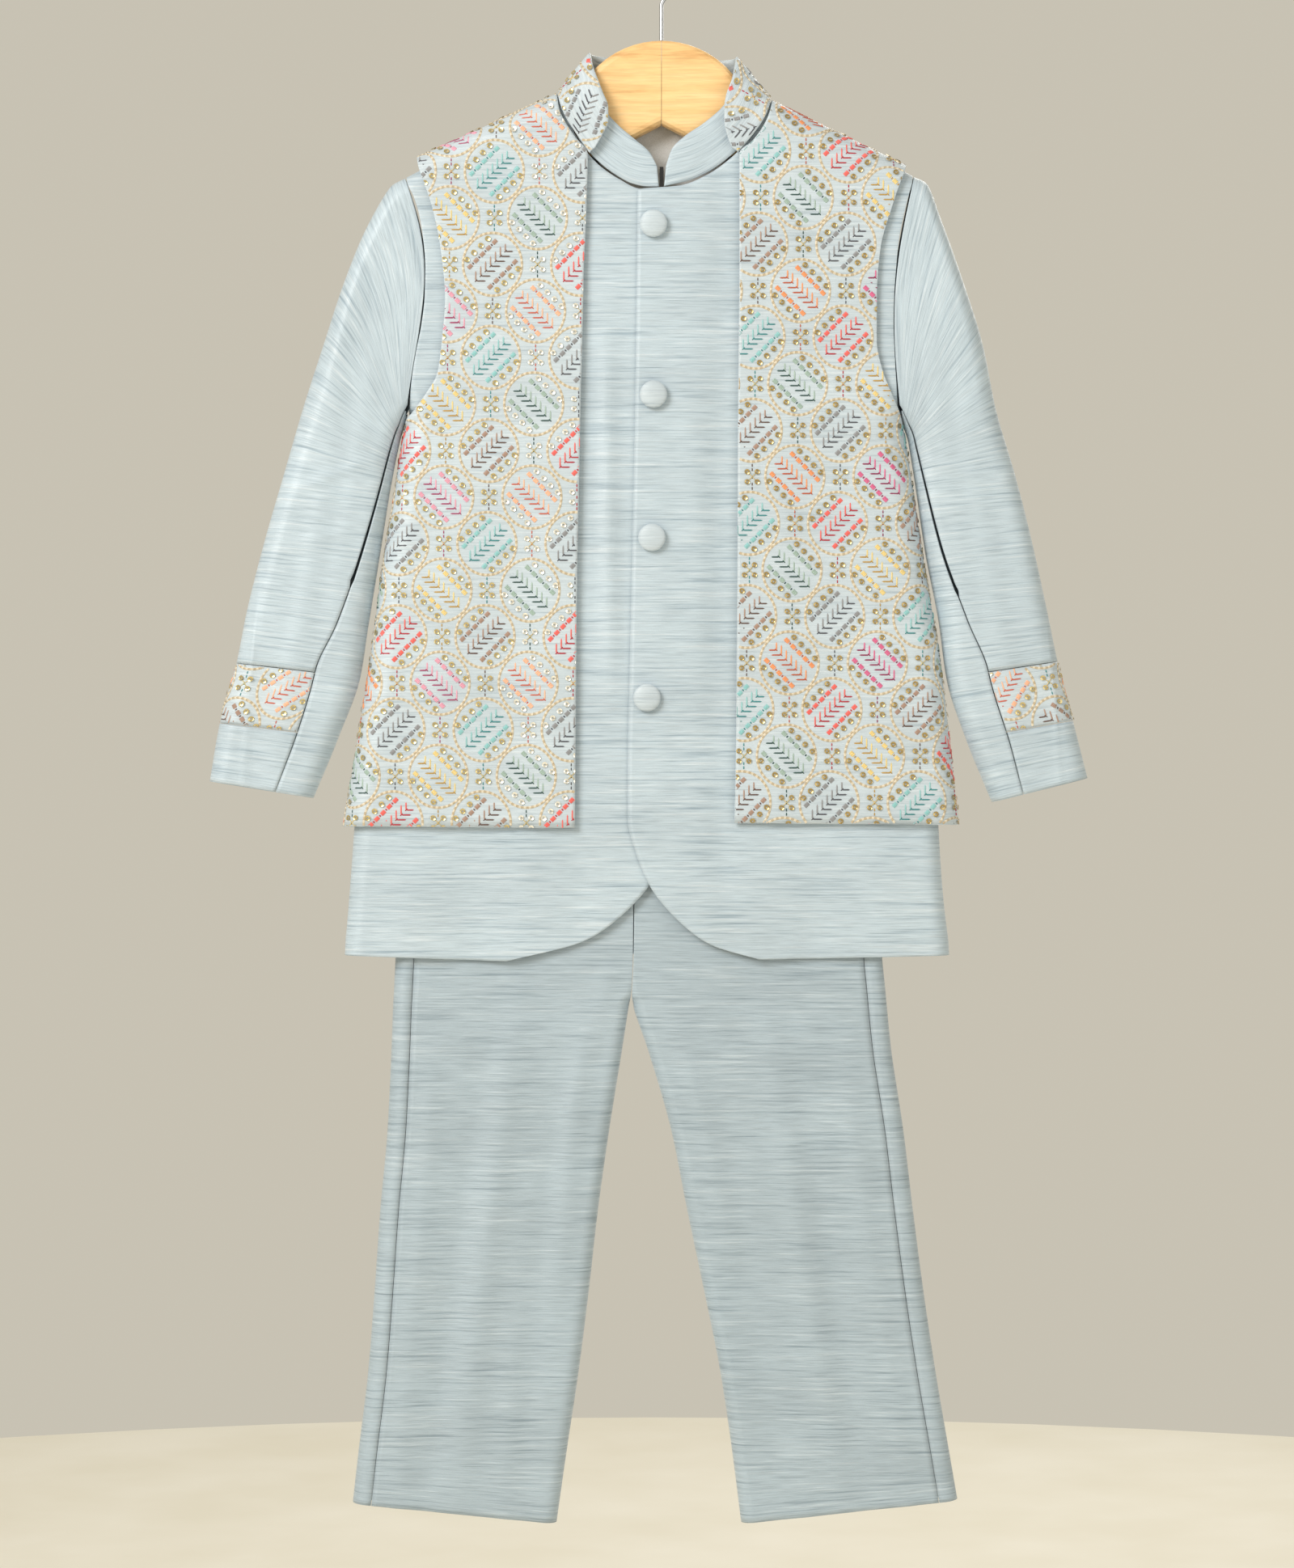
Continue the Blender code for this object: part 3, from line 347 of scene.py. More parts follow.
def srgb(red, green, blue):
    """A colour as a screen shows it, from 0 to 255, as the linear colour a shader takes."""
    return tuple(((c / 255 + 0.055) / 1.055) ** 2.4 if c > 10 else c / 255 / 12.92 for c in (red, green, blue))


class Nodes:
    """A short way to build a material's nodes."""

    def __init__(self, name, roughness, metallic=0.0):
        self.made = bpy.data.materials.new(name)
        self.made.use_nodes = True
        self.tree = self.made.node_tree
        self.shader = self.tree.nodes["Principled BSDF"]
        self.shader.inputs["Roughness"].default_value = roughness
        self.shader.inputs["Metallic"].default_value = metallic

    def add(self, kind, **inputs):
        node = self.tree.nodes.new(kind)
        for key, value in inputs.items():
            socket = node.inputs[key.replace("_", " ")]
            if isinstance(value, bpy.types.NodeSocket):
                self.tree.links.new(value, socket)
            else:
                socket.default_value = value
        return node

    def stretched(self, source, x, y, z=1.0):
        return self.add("ShaderNodeMapping", Vector=source, Scale=(x, y, z)).outputs["Vector"]

    def noise(self, vector, detail=2.0, scale=1.0, rough=0.5):
        node = self.add("ShaderNodeTexNoise", Vector=vector, Scale=scale, Detail=detail, Roughness=rough)
        return node.outputs["Fac"]

    def ramp(self, factor, *stops):
        node = self.add("ShaderNodeValToRGB", Fac=factor)
        while len(node.color_ramp.elements) < len(stops):
            node.color_ramp.elements.new(0.5)
        for element, (place, colour) in zip(node.color_ramp.elements, stops):
            element.position = place
            element.color = (*colour, 1) if len(colour) == 3 else (colour[0], colour[0], colour[0], 1)
        return node.outputs["Color"]

    def mix(self, factor, a, b, blend="MIX"):
        node = self.tree.nodes.new("ShaderNodeMix")
        node.data_type = "RGBA"
        node.blend_type = blend
        for socket, value in ((node.inputs[0], factor), (node.inputs[6], a), (node.inputs[7], b)):
            if isinstance(value, bpy.types.NodeSocket):
                self.tree.links.new(value, socket)
            else:
                socket.default_value = value if isinstance(value, float) else (*value, 1)
        return node.outputs[2]

    def maths(self, operation, a, b):
        node = self.tree.nodes.new("ShaderNodeMath")
        node.operation = operation
        for socket, value in ((node.inputs[0], a), (node.inputs[1], b)):
            if isinstance(value, bpy.types.NodeSocket):
                self.tree.links.new(value, socket)
            else:
                socket.default_value = value
        return node.outputs[0]

    def bump(self, height, strength, distance):
        node = self.add("ShaderNodeBump", Height=height, Strength=strength, Distance=distance)
        self.tree.links.new(node.outputs["Normal"], self.shader.inputs["Normal"])

    def put(self, socket, value):
        self.tree.links.new(value, self.shader.inputs[socket])


def silk(name, shade, base, bright, slub=1.0, sheen=0.25):
    """Raw silk: fine threads, and uneven slubs that run across the cloth, whose colour streaks are partly the cloth's
    own tone and partly painted sheen and shade, with broad patches of painted sheen over all.
    """
    made = Nodes(name, 0.42)
    place = made.add("ShaderNodeUVMap")
    place.uv_map = "Cloth"
    uv = place.outputs["UV"]
    long_slubs = made.noise(made.stretched(uv, 16, 620), 3.0, rough=0.62)
    short_slubs = made.noise(made.stretched(uv, 55, 1500), 2.0, rough=0.6)
    threads = made.noise(made.stretched(uv, 900, 2600), 1.0)
    # Broad soft patches of painted sheen, lighter and darker, multiplied into the colour
    sheen_patch_noise = made.noise(made.stretched(uv, 9, 26), 2.0)
    # Slub streaks in the colour: partly the cloth's uneven tone, partly painted sheen and shade, from the dark and
    # bright stops
    slub_tone_and_sheen = made.ramp(long_slubs, (0.3, shade), (0.47, base), (0.56, base), (0.72, bright))
    fine = made.ramp(short_slubs, (0.3, (0.82,)), (0.52, (1.0,)), (0.75, (1.13,)))
    painted_sheen_patches = made.ramp(sheen_patch_noise, (0.3, (0.94,)), (0.7, (1.05,)))
    colour = made.mix(0.85 * slub, slub_tone_and_sheen, fine, "MULTIPLY")
    made.put("Base Color", made.mix(1.0, colour, painted_sheen_patches, "MULTIPLY"))
    made.put("Roughness", made.ramp(long_slubs, (0.3, (0.52,)), (0.7, (0.36,))))
    raised = made.maths("ADD", made.maths("MULTIPLY", long_slubs, 0.9), made.maths("MULTIPLY", short_slubs, 0.7))
    made.bump(made.maths("ADD", raised, made.maths("MULTIPLY", threads, 0.25)), 0.55, 0.0006)
    made.shader.inputs["Specular IOR Level"].default_value = 0.55
    made.shader.inputs["Sheen Weight"].default_value = sheen
    made.shader.inputs["Sheen Roughness"].default_value = 0.35
    return made.made


def embroidery_thread():
    """Glossy rayon thread, in the colour that each stitch holds."""
    made = Nodes("embroidery_thread", 0.38)
    colour = made.tree.nodes.new("ShaderNodeVertexColor")
    colour.layer_name = "Thread"
    place = made.add("ShaderNodeTexCoord").outputs["Object"]
    twist = made.noise(made.stretched(place, 2600, 2600, 2600), 1.0)
    tone = made.ramp(twist, (0.35, (0.86,)), (0.65, (1.08,)))
    made.put("Base Color", made.mix(1.0, colour.outputs["Color"], tone, "MULTIPLY"))
    made.bump(twist, 0.4, 0.0003)
    made.shader.inputs["Sheen Weight"].default_value = 0.2
    return made.made


def sequin_foil():
    made = Nodes("sequin_foil", 0.24, 0.75)
    colour = made.tree.nodes.new("ShaderNodeVertexColor")
    colour.layer_name = "Thread"
    place = made.add("ShaderNodeTexCoord").outputs["Object"]
    speck = made.noise(made.stretched(place, 700, 700, 700), 2.0)
    tone = made.ramp(speck, (0.35, (0.9,)), (0.65, (1.06,)))
    made.put("Base Color", made.mix(1.0, colour.outputs["Color"], tone, "MULTIPLY"))
    made.put("Roughness", made.ramp(speck, (0.3, (0.3,)), (0.7, (0.18,))))
    return made.made


def honey_wood():
    """Pale sanded wood with grain along the arm."""
    made = Nodes("honey_wood_grain", 0.45)
    place = made.add("ShaderNodeTexCoord").outputs["Object"]
    grain = made.noise(made.stretched(place, 14, 90, 150), 5.0, rough=0.6)
    fine = made.noise(made.stretched(place, 60, 900, 900), 2.0)
    colour = made.ramp(grain, (0.28, srgb(206, 152, 92)), (0.45, srgb(240, 196, 134)),
                       (0.6, srgb(248, 208, 148)), (0.8, srgb(252, 220, 168)))
    lines = made.ramp(fine, (0.3, (0.88,)), (0.6, (1.03,)))
    made.put("Base Color", made.mix(1.0, colour, lines, "MULTIPLY"))
    made.put("Roughness", made.ramp(grain, (0.3, (0.55,)), (0.7, (0.38,))))
    made.bump(fine, 0.15, 0.0003)
    return made.made


def plain_finish(name, dark, light, roughness, metallic=0.0, grain=400.0, relief=0.1):
    """A finish with a fine uneven surface."""
    made = Nodes(name, roughness, metallic)
    place = made.add("ShaderNodeTexCoord").outputs["Object"]
    mottle = made.noise(made.stretched(place, grain, grain, grain), 3.0)
    made.put("Base Color", made.ramp(mottle, (0.3, dark), (0.7, light)))
    made.bump(mottle, relief, 0.0002)
    return made.made


SILK = silk("kurta_silk", srgb(150, 168, 181), srgb(188, 203, 213), srgb(212, 222, 229))
TROUSER_SILK = silk("trouser_silk_weave", srgb(136, 152, 163), srgb(170, 185, 195), srgb(196, 208, 216))
GROUND = silk("embroidery_ground", srgb(172, 186, 196), srgb(197, 209, 217), srgb(214, 223, 229), 0.7)
LINING = plain_finish("lining_cotton", srgb(224, 222, 218), srgb(240, 239, 236), 0.85, grain=1500.0, relief=0.4)
THREAD = embroidery_thread()
SEQUIN = sequin_foil()
WOOD = honey_wood()
STEEL = plain_finish("bright_steel_wire", srgb(168, 170, 172), srgb(205, 206, 208), 0.22, 1.0, 900.0, 0.05)
BLACK = plain_finish("black_enamel_wire", srgb(18, 18, 20), srgb(36, 36, 40), 0.35)


def shown(name, mesh, finish, replaced=()):
    obj = bpy.data.objects.new(name, mesh)
    bpy.context.scene.collection.objects.link(obj)
    for each in finish if isinstance(finish, tuple) else (finish,):
        mesh.materials.append(each)
    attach(obj, "root")
    if replaced:
        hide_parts(*replaced)
    return obj


class Cloth:
    """A sewn panel laid over point(s, v), which gives its place and its place on the flat cloth, both in
    millimetres. The panel can then carry stitches that are placed on the flat cloth."""

    def __init__(self, node, point, stations, rows, wall, finish, slot, rests_on):
        mesh = bpy.data.meshes.new("cloth_" + node)
        bm = bmesh.new()
        wide = len(stations) - 1
        tall = len(rows) - 1
        bmesh.ops.create_grid(bm, x_segments=wide, y_segments=tall, size=0.5)
        bm.verts.ensure_lookup_table()
        flat = []
        for vert in bm.verts:
            s = stations[round((vert.co.x + 0.5) * wide)]
            v = rows[round((vert.co.y + 0.5) * tall)]
            x, y, z, flat_x, flat_z = point(s, v)
            vert.co = Vector((x, y, z)) * MM
            flat.append(Vector((flat_x, 0, flat_z)))
        bm.normal_update()
        if sum(f.calc_area() * f.normal.y * f.calc_center_median().y for f in bm.faces) < 0:
            bmesh.ops.reverse_faces(bm, faces=bm.faces)
        uv = bm.loops.layers.uv.new("Cloth")
        for face in bm.faces:
            for loop in face.loops:
                at = flat[loop.vert.index]
                loop[uv].uv = (at.x * MM, at.z * MM)
        bm.to_mesh(mesh)
        bm.free()
        mesh.shade_smooth()
        self.spots = [v.co.copy() / MM for v in mesh.vertices]
        self.out = [v.normal.copy() for v in mesh.vertices]
        self.flat = flat
        mesh.calc_loop_triangles()
        self.triangles = [tuple(t.vertices) for t in mesh.loop_triangles]
        self.tree = None
        self.obj = shown("cloth_" + node, mesh, finish, (node,))
        thick = self.obj.modifiers.new("wall", "SOLIDIFY")
        thick.thickness = wall * MM
        thick.offset = -1
        low = Vector((min(p.x for p in flat), 0, min(p.z for p in flat)))
        high = Vector((max(p.x for p in flat), 0, max(p.z for p in flat)))
        self.low = low
        self.high = high

    def on(self, x, z, lift):
        """The place of a point of the flat cloth on the hanging one, or None past its edges."""
        if self.tree is None:
            self.tree = BVHTree.FromPolygons(self.flat, self.triangles)
        found, _, index, gap = self.tree.find_nearest(Vector((x, 0, z)))
        if found is None or gap > 0.05:
            return None
        a, b, c = self.triangles[index]
        corners = self.flat[a], self.flat[b], self.flat[c]
        spot = barycentric_transform(found, *corners, self.spots[a], self.spots[b], self.spots[c])
        way = barycentric_transform(found, *corners, self.out[a], self.out[b], self.out[c])
        return spot + way.normalized() * lift


def kurta_lift(x):
    """The upper front panel stands off the lower one near its edge and eases back to the body."""
    share = min(1.0, max(0.0, (OVERLAP_END - x) / (OVERLAP_END - OVERLAP_EDGE)))
    return OVERLAP_LIFT * share * share * (3 - 2 * share)


def front_panel(node, table, ridges, depth, wall, finish, slot, folds, rests_on, lift=None, fine=(54, 132)):
    look = remembered(table)

    def point(s, v):
        row = look(v)
        section = Section(row.inner_x, row.inner_z, row.outer_x, row.outer_z, 0, row.roll, depth)
        spot = across(section, s)
        out = body_depth(ridges, depth, spot.x, spot.z) * spot.full + bulge(folds, spot.x, spot.z) * spot.full
        if lift:
            out += lift(spot.x)
        flat_z = unrolled_z(ridges, depth, spot.x, spot.flat_z)
        return spot.x, min(-(out + SEAM / 2), -SEAM / 2), spot.z, spot.flat_x, flat_z

    wide, tall = fine
    stations = steps(0, 1, wide) + steps(1, 2, 12)[1:]
    rows = steps(0, 1.5, 14) + steps(1.5, len(table) - 1, tall)[1:]
    return Cloth(node, point, stations, rows, wall, finish, slot, rests_on)


def back_panel(node, left, right, ridges, depth, neck_z, crown_rows, wall, finish, slot, folds, rests_on):
    """A whole back. Its top follows both shoulder lines and dips between them at the neck."""
    look_left = remembered(left)
    look_right = remembered(right)

    def top_z(x):
        ridge = ridges[0] if x < 0 else ridges[1]
        if abs(x) >= abs(ridge.neck_x):
            return ridge_z(ridges, x)
        share = abs(x / ridge.neck_x)
        return neck_z + (ridge.neck_z - neck_z) * share**8

    def point(s, v):
        a = look_left(v)
        b = look_right(v)
        section = Section(a.outer_x, a.outer_z, b.outer_x, b.outer_z, a.roll, b.roll, depth)
        spot = across(section, s)
        crown = max(0.0, 1 - v / crown_rows) ** 1.3
        share = (spot.x - ridges[0].tip_x) / (ridges[1].tip_x - ridges[0].tip_x)
        tips = ridges[0].tip_z + share * (ridges[1].tip_z - ridges[0].tip_z)
        rise = crown * max(0.0, top_z(spot.x) - tips)
        z = spot.z + rise
        y = body_depth(ridges, depth, spot.x, z) * spot.full + bulge(folds, spot.x, z) * spot.full + SEAM / 2
        return spot.x, max(y, SEAM / 2), z, spot.flat_x, unrolled_z(ridges, depth, spot.x, spot.flat_z + rise)

    stations = steps(-1, 0, 8)[:-1] + steps(0, 1, 88) + steps(1, 2, 8)[1:]
    rows = steps(0, 1.5, 12) + steps(1.5, len(left) - 1, 100)[1:]
    return Cloth(node, point, stations, rows, wall, finish, slot, rests_on)


def ring_point(section, depth, s, folds=()):
    """A point of a flat tube and its distance round it: s from -1 to 2 is its front, and 2 to 5 its back."""
    behind = s > 2
    spot = across(section, 4 - s if behind else s)
    y = (depth + bulge(folds, spot.x, spot.z)) * spot.full
    arc = spot.arc
    if behind:
        arc = 2 * across(section, 2).arc - arc
    return spot.x, (y if behind else -y), spot.z, arc


def along(section, distance):
    """How much s changes over a distance on the flat of the front, and over the underarm gap on the roll."""
    flat = hypot(section.bx - section.ax, section.bz - section.az) - 2 * section.radius
    return distance / flat, UNDERARM_GAP / 2 / (section.radius * pi / 2)


def lengths(table):
    """How far each row of a tube lies from its first, along the middle."""
    total = [0.0]
    for a, b in zip(table, table[1:]):
        step_x = (b.inner_x + b.outer_x - a.inner_x - a.outer_x) / 2
        step_z = (b.inner_z + b.outer_z - a.inner_z - a.outer_z) / 2
        total.append(total[-1] + hypot(step_x, step_z))
    return total


def length_at(total, v):
    k = min(int(v), len(total) - 2)
    return total[k] + (total[k + 1] - total[k]) * (v - k)


def sleeve(side, table, sign, skew, folds, rests_on):
    """A two-piece sleeve. The upper piece is cut across by the embroidered band and the cuff."""
    look = remembered(table)
    total = lengths(table)

    def section_at(ring):
        return Section(ring.inner_x, ring.inner_z, ring.outer_x, ring.outer_z,
                       FULL_ROLL, FULL_ROLL, ring.depth, sign * ring.bow, skew)

    def seam_of(section, ring):
        seam = station_at(section, ring.seam)
        on_flat, on_roll = along(section, SEAM)
        return seam, on_flat if seam > 0 else on_roll

    def laid(section, v, arc):
        middle = across(section, 0.5).arc
        return sign * (arc - middle), -length_at(total, v)

    def upper(w, v):
        ring = look(v)
        section = section_at(ring)
        seam, gap = seam_of(section, ring)
        x, y, z, arc = ring_point(section, ring.depth, seam + gap + (4 - 2 * (seam + gap)) * w, folds)
        return (x, y, z, *laid(section, v, arc))

    def under(w, v):
        ring = look(v)
        section = section_at(ring)
        seam, gap = seam_of(section, ring)
        x, y, z, arc = ring_point(section, ring.depth, (seam - gap + 1) * abs(w) - 1, folds)
        if w > 0:
            return (x, y, z, *laid(section, v, arc))
        return (x, -y, z, *laid(section, v, 2 * across(section, -1).arc - arc))

    end = len(table) - 1
    cut = 0.012
    wide = steps(0, 1, 76)
    upper_rows = steps(0, BAND_TOP - cut, 96)
    band_rows = steps(BAND_TOP, BAND_END - cut, 14)
    cuff_rows = steps(BAND_END, end, 14)
    name = f"sleeve_{side}_"
    Cloth(name + "top", upper, wide, upper_rows, KURTA_WALL, SILK, "slub_silk", rests_on)
    band = Cloth(name + "band", upper, wide, band_rows, KURTA_WALL, GROUND, "embroidered_silk", name + "top")
    cuff = Cloth(name + "cuff", upper, wide, cuff_rows, KURTA_WALL, SILK, "slub_silk", name + "band")
    under_rows = [v for v in upper_rows if v >= 0.9] + band_rows + cuff_rows
    Cloth(name + "under", under, steps(-1, 1, 44), under_rows, KURTA_WALL, SILK, "slub_silk", rests_on)
    return band, cuff


def trouser_half(side, table, folds):
    look = remembered(table)
    total = lengths(table)

    def section_at(row):
        return Section(row.inner_x, row.inner_z, row.outer_x, row.outer_z, row.roll, FULL_ROLL, row.depth)

    def seam_at(section):
        width = hypot(section.bx - section.ax, section.bz - section.az)
        start = section.radius * sin(radians(section.roll_a))
        return (width - SIDE_SEAM_IN - start) / (width - start - section.radius)

    def laid(row, section, v, arc):
        side_sign = -1 if section.bx < section.ax else 1
        return section.ax + side_sign * arc, -length_at(total, v)

    def front(w, v):
        row = look(v)
        section = section_at(row)
        s = -1 + (seam_at(section) - along(section, SEAM / 2)[0] + 1) * w
        x, y, z, arc = ring_point(section, row.depth, s, folds)
        return (x, min(y, -SEAM / 2), z, *laid(row, section, v, arc))

    def back(w, v):
        row = look(v)
        section = section_at(row)
        start = seam_at(section) + along(section, SEAM / 2)[0]
        x, y, z, arc = ring_point(section, row.depth, start + (5 - start) * w, folds)
        inside = abs(x - section.bx) > abs(x - section.ax)
        return (x, max(y, SEAM / 2) if inside else y, z, *laid(row, section, v, arc))

    rows = steps(0, 3, 30) + steps(3, 5.5, 20)[1:] + steps(5.5, len(table) - 1, 70)[1:]
    leg = Cloth(f"trouser_front_{side}", front, steps(0, 1, 60), rows, TROUSER_WALL, TROUSER_SILK, "trouser_silk",
                "trouser_waistband")
    rear = Cloth(f"trouser_back_{side}", back, steps(0, 1, 76), rows, TROUSER_WALL, TROUSER_SILK, "trouser_silk",
                 "trouser_waistband")
    return leg, rear


def waistband():
    depth = KURTA_DEPTH - KURTA_WALL - REST + SEAM / 2

    def point(s, v):
        z = WAIST_TOP + (WAIST_END - WAIST_TOP) * v
        section = Section(WAIST_LEFT, z, WAIST_RIGHT, z, FULL_ROLL, FULL_ROLL, depth)
        x, y, z, arc = ring_point(section, depth, s)
        return x, y, z, arc, z

    Cloth("trouser_waistband", point, steps(-1, 4.99, 96), steps(0, 1, 8), TROUSER_WALL, TROUSER_SILK,
          "trouser_silk", "kurta_back")


def collar_point(at, s):
    """A point of a stand collar, with a slight outward swell between its seam and its upper edge."""
    swell = 0.5 * sin(pi * s)
    reach = hypot(at.base_x, at.base_y)
    return Vector((at.base_x + (at.top_x - at.base_x) * s + swell * at.base_x / reach,
                   at.base_y + (at.top_y - at.base_y) * s + swell * at.base_y / reach,
                   at.base_z + (at.top_z - at.base_z) * s))


def collar(node, table, wall, finish, slot, rests_on):
    look = remembered(table)
    count = len(table) - 1
    rows = steps(0, count, count * 6)
    total = {0.0: 0.0}
    for before, v in zip(rows, rows[1:]):
        total[v] = total[before] + (collar_point(look(v), 0.4) - collar_point(look(before), 0.4)).length
    half = total[rows[-1]] / 2

    def point(s, v):
        x, y, z = collar_point(look(v), s)
        height = (collar_point(look(v), 1) - collar_point(look(v), 0)).length
        return x, y, z, total[v] - half, height * s

    return Cloth(node, point, steps(0, 1, 12), rows, wall, finish, slot, rests_on)


def back_lining():
    outer = KURTA_DEPTH - KURTA_WALL - REST + SEAM / 2

    def point(s, v):
        x = -40 + 82 * s
        z = -114 - 52 * v - 6 * v * sin(pi * s)
        return x, outer, z, x, z

    Cloth("kurta_back_lining", point, steps(0, 1, 30), steps(0, 1, 20), 0.9, LINING, "white_lining", "kurta_back")


Stitch = namedtuple("Stitch", "light dark")
CREAM = srgb(226, 214, 190)
TAN = srgb(196, 178, 148)
PEARL = srgb(250, 246, 234)
GOLD = srgb(214, 194, 140)
BRASS = srgb(184, 160, 106)
PINK = Stitch(srgb(236, 168, 188), srgb(168, 74, 112))
BROWN = Stitch(srgb(176, 146, 130), srgb(104, 82, 74))
AQUA = Stitch(srgb(150, 204, 204), srgb(66, 140, 144))
PEACH = Stitch(srgb(248, 192, 158), srgb(206, 104, 84))
YELLOW = Stitch(srgb(240, 214, 142), srgb(190, 152, 78))
GREEN = Stitch(srgb(168, 190, 178), srgb(48, 82, 78))
CORAL = Stitch(srgb(240, 112, 104), srgb(184, 52, 66))
GREY = Stitch(srgb(150, 150, 152), srgb(84, 86, 94))
ORANGE = Stitch(srgb(244, 160, 106), srgb(192, 92, 60))
MAGENTA = Stitch(srgb(222, 108, 150), srgb(146, 44, 88))

RING_HALF_WIDE = 18.2
RING_HALF_TALL = 19.4
COLUMN_STEP = 27.2
CIRCLE_STEP = 57.5


class Needlework:
    """Stitches and sequins drawn on flat cloth and then laid on the hanging piece."""

    def __init__(self, ground, seed):
        self.ground = ground
        self.points = []
        self.faces = []
        self.colours = []
        self.kinds = []
        self.draw = random.Random(seed)

    def add(self, points, faces, colour, kind=0):
        """points are (x, z, lift); a shape that passes the cloth's edge is cut off there."""
        placed = [self.ground.on(x, z, lift) for x, z, lift in points]
        start = len(self.points)
        self.points += [p or Vector() for p in placed]
        for face in faces:
            if all(placed[k] is not None for k in face):
                self.faces.append([start + k for k in face])
                self.colours.append(colour)
                self.kinds.append(kind)

    def stitch(self, a, b, colour, width=0.9, height=0.55):
        """A thread that dips into the cloth at both ends."""
        way = b - a
        side = Vector((-way.y, way.x)).normalized() * width / 2
        points = [(a.x, a.y, 0.05)]
        for share in (0.18, 0.82):
            at = a + way * share
            points += [(at.x + side.x, at.y + side.y, 0.08), (at.x, at.y, height),
                       (at.x - side.x, at.y - side.y, 0.08)]
        points.append((b.x, b.y, 0.05))
        faces = [(0, 1, 2), (0, 2, 3), (1, 4, 5, 2), (2, 5, 6, 3), (7, 5, 4), (7, 6, 5)]
        self.add(points, faces, colour)

    def ring(self, centre, half_wide, half_tall, width=1.5, count=72):
        """A couched cord laid in an oval, with its holding stitches as raised and lowered turns."""
        for k in range(count):
            points = []
            for turn in (k / count, (k + 1) / count):
                for out, lift in ((-0.5, 0.1), (0, 0.75 if k % 2 else 0.45), (0.5, 0.1)):
                    reach = 1 + out * width / half_wide
                    points.append((centre.x + half_wide * reach * cos(2 * pi * turn),
                                   centre.y + half_tall * reach * sin(2 * pi * turn), lift))
            self.add(points, [(0, 1, 4, 3), (1, 2, 5, 4)], CREAM if k % 2 else TAN)

    def sequin(self, centre, colour, radius=1.75):
        """A cupped foil disc with a hole, held down by one short stitch."""
        tilt_x = self.draw.uniform(-0.14, 0.14)
        tilt_z = self.draw.uniform(-0.14, 0.14)
        points = []
        for share, cup in ((0.36, 0.35), (0.72, 0.42), (1.0, 0.6)):
            for k in range(12):
                x = radius * share * cos(2 * pi * k / 12)
                z = radius * share * sin(2 * pi * k / 12)
                points.append((centre.x + x, centre.y + z, 0.25 + cup + tilt_x * x + tilt_z * z))
        faces = []
        for row in (0, 12):
            faces += [(row + k, row + (k + 1) % 12, row + 12 + (k + 1) % 12, row + 12 + k) for k in range(12)]
        self.add(points, faces, colour, 1)
        self.stitch(centre, centre + Vector((radius * 1.1, 0)), TAN, 0.5, 1.1)

    def motif(self, centre, slant, thread, foil):
        """A circle that holds a leaf sprig on the diagonal, a row of satin blocks at each side, and sequins."""
        self.ring(centre, RING_HALF_WIDE, RING_HALF_TALL)
        way = Vector((slant, 1)).normalized()
        side = Vector((way.y, -way.x))
        for k in range(7):
            root = centre + way * (k * 4.3 - 14.6)
            arm = 6.4 if k < 6 else 5.0
            self.stitch(root, root + Vector((0, arm)), thread.light)
            self.stitch(root, root + Vector((slant * arm, 0)), thread.dark)
            self.stitch(root - way * 0.9, root + way * 1.4, thread.dark, 0.7)
        for edge in (-1, 1):
            row = centre + side * edge * 8.8
            for k in range(-2, 3):
                block = row + way * k * 5.4
                for thread_at in (-1.2, -0.4, 0.4, 1.2):
                    middle = block + way * thread_at
                    self.stitch(middle - side * 1.5, middle + side * 1.5, thread.light, 0.95, 0.6)
                if k < 2:
                    between = block + way * 2.7
                    self.stitch(between - side * 0.8, between + side * 0.8, thread.dark, 0.9, 0.45)
            for k in (-1.5, -0.5, 0.5, 1.5):
                self.sequin(centre + side * edge * 13.2 + way * k * 6.1, foil)

    def cluster(self, centre, thread, foil):
        """Four sequins round a cross stitch, with a short run of stitches above and below."""
        for x in (-3.1, 3.1):
            for z in (-3.1, 3.1):
                self.sequin(centre + Vector((x, z)), foil, 1.65)
        for slant in (-1, 1):
            reach = Vector((slant * 2.3, 2.3))
            self.stitch(centre - reach, centre + reach, GOLD, 0.6, 0.7)
        for k in (-8.2, -5.6, -1.2, 3.4, 6.0):
            self.stitch(centre + Vector((0, k)), centre + Vector((0, k + 2.1)), thread.dark, 0.7)

    def jaal(self, first, threads, foils, lean=0.0):
        """The all-over repeat: columns of circles, each column half a step below the one before it."""
        ground = self.ground
        last = int((ground.high.x - first.x) / COLUMN_STEP) + 2
        start = int((ground.low.x - first.x) / COLUMN_STEP) - 2
        rows = int((ground.high.z - ground.low.z) / CIRCLE_STEP) + 3
        for column in range(start, last):
            even, odd = threads[column % len(threads)]
            foil = foils[column % len(foils)]
            top = first.y + CIRCLE_STEP * int((ground.high.z - first.y) / CIRCLE_STEP + 1)
            for row in range(rows + 1):
                z = top - row * CIRCLE_STEP - (CIRCLE_STEP / 2 if column % 2 else 0)
                x = first.x + column * COLUMN_STEP + lean * (z - first.y)
                thread = even if row % 2 else odd
                slant = 1 if column % 2 == 0 else -1
                self.motif(Vector((x, z)), slant, thread, foil)
                self.cluster(Vector((x, z - CIRCLE_STEP / 2)), thread, foil)

    def run(self, points, colour, length=2.4, gap=1.1, width=0.5):
        """A line of running stitches along a path on the flat cloth."""
        for a, b in zip(points, points[1:]):
            way = b - a
            count = max(1, int(way.length / (length + gap)))
            for k in range(count):
                at = a + way * (k / count)
                self.stitch(at, at + way.normalized() * length, colour, width, 0.3)

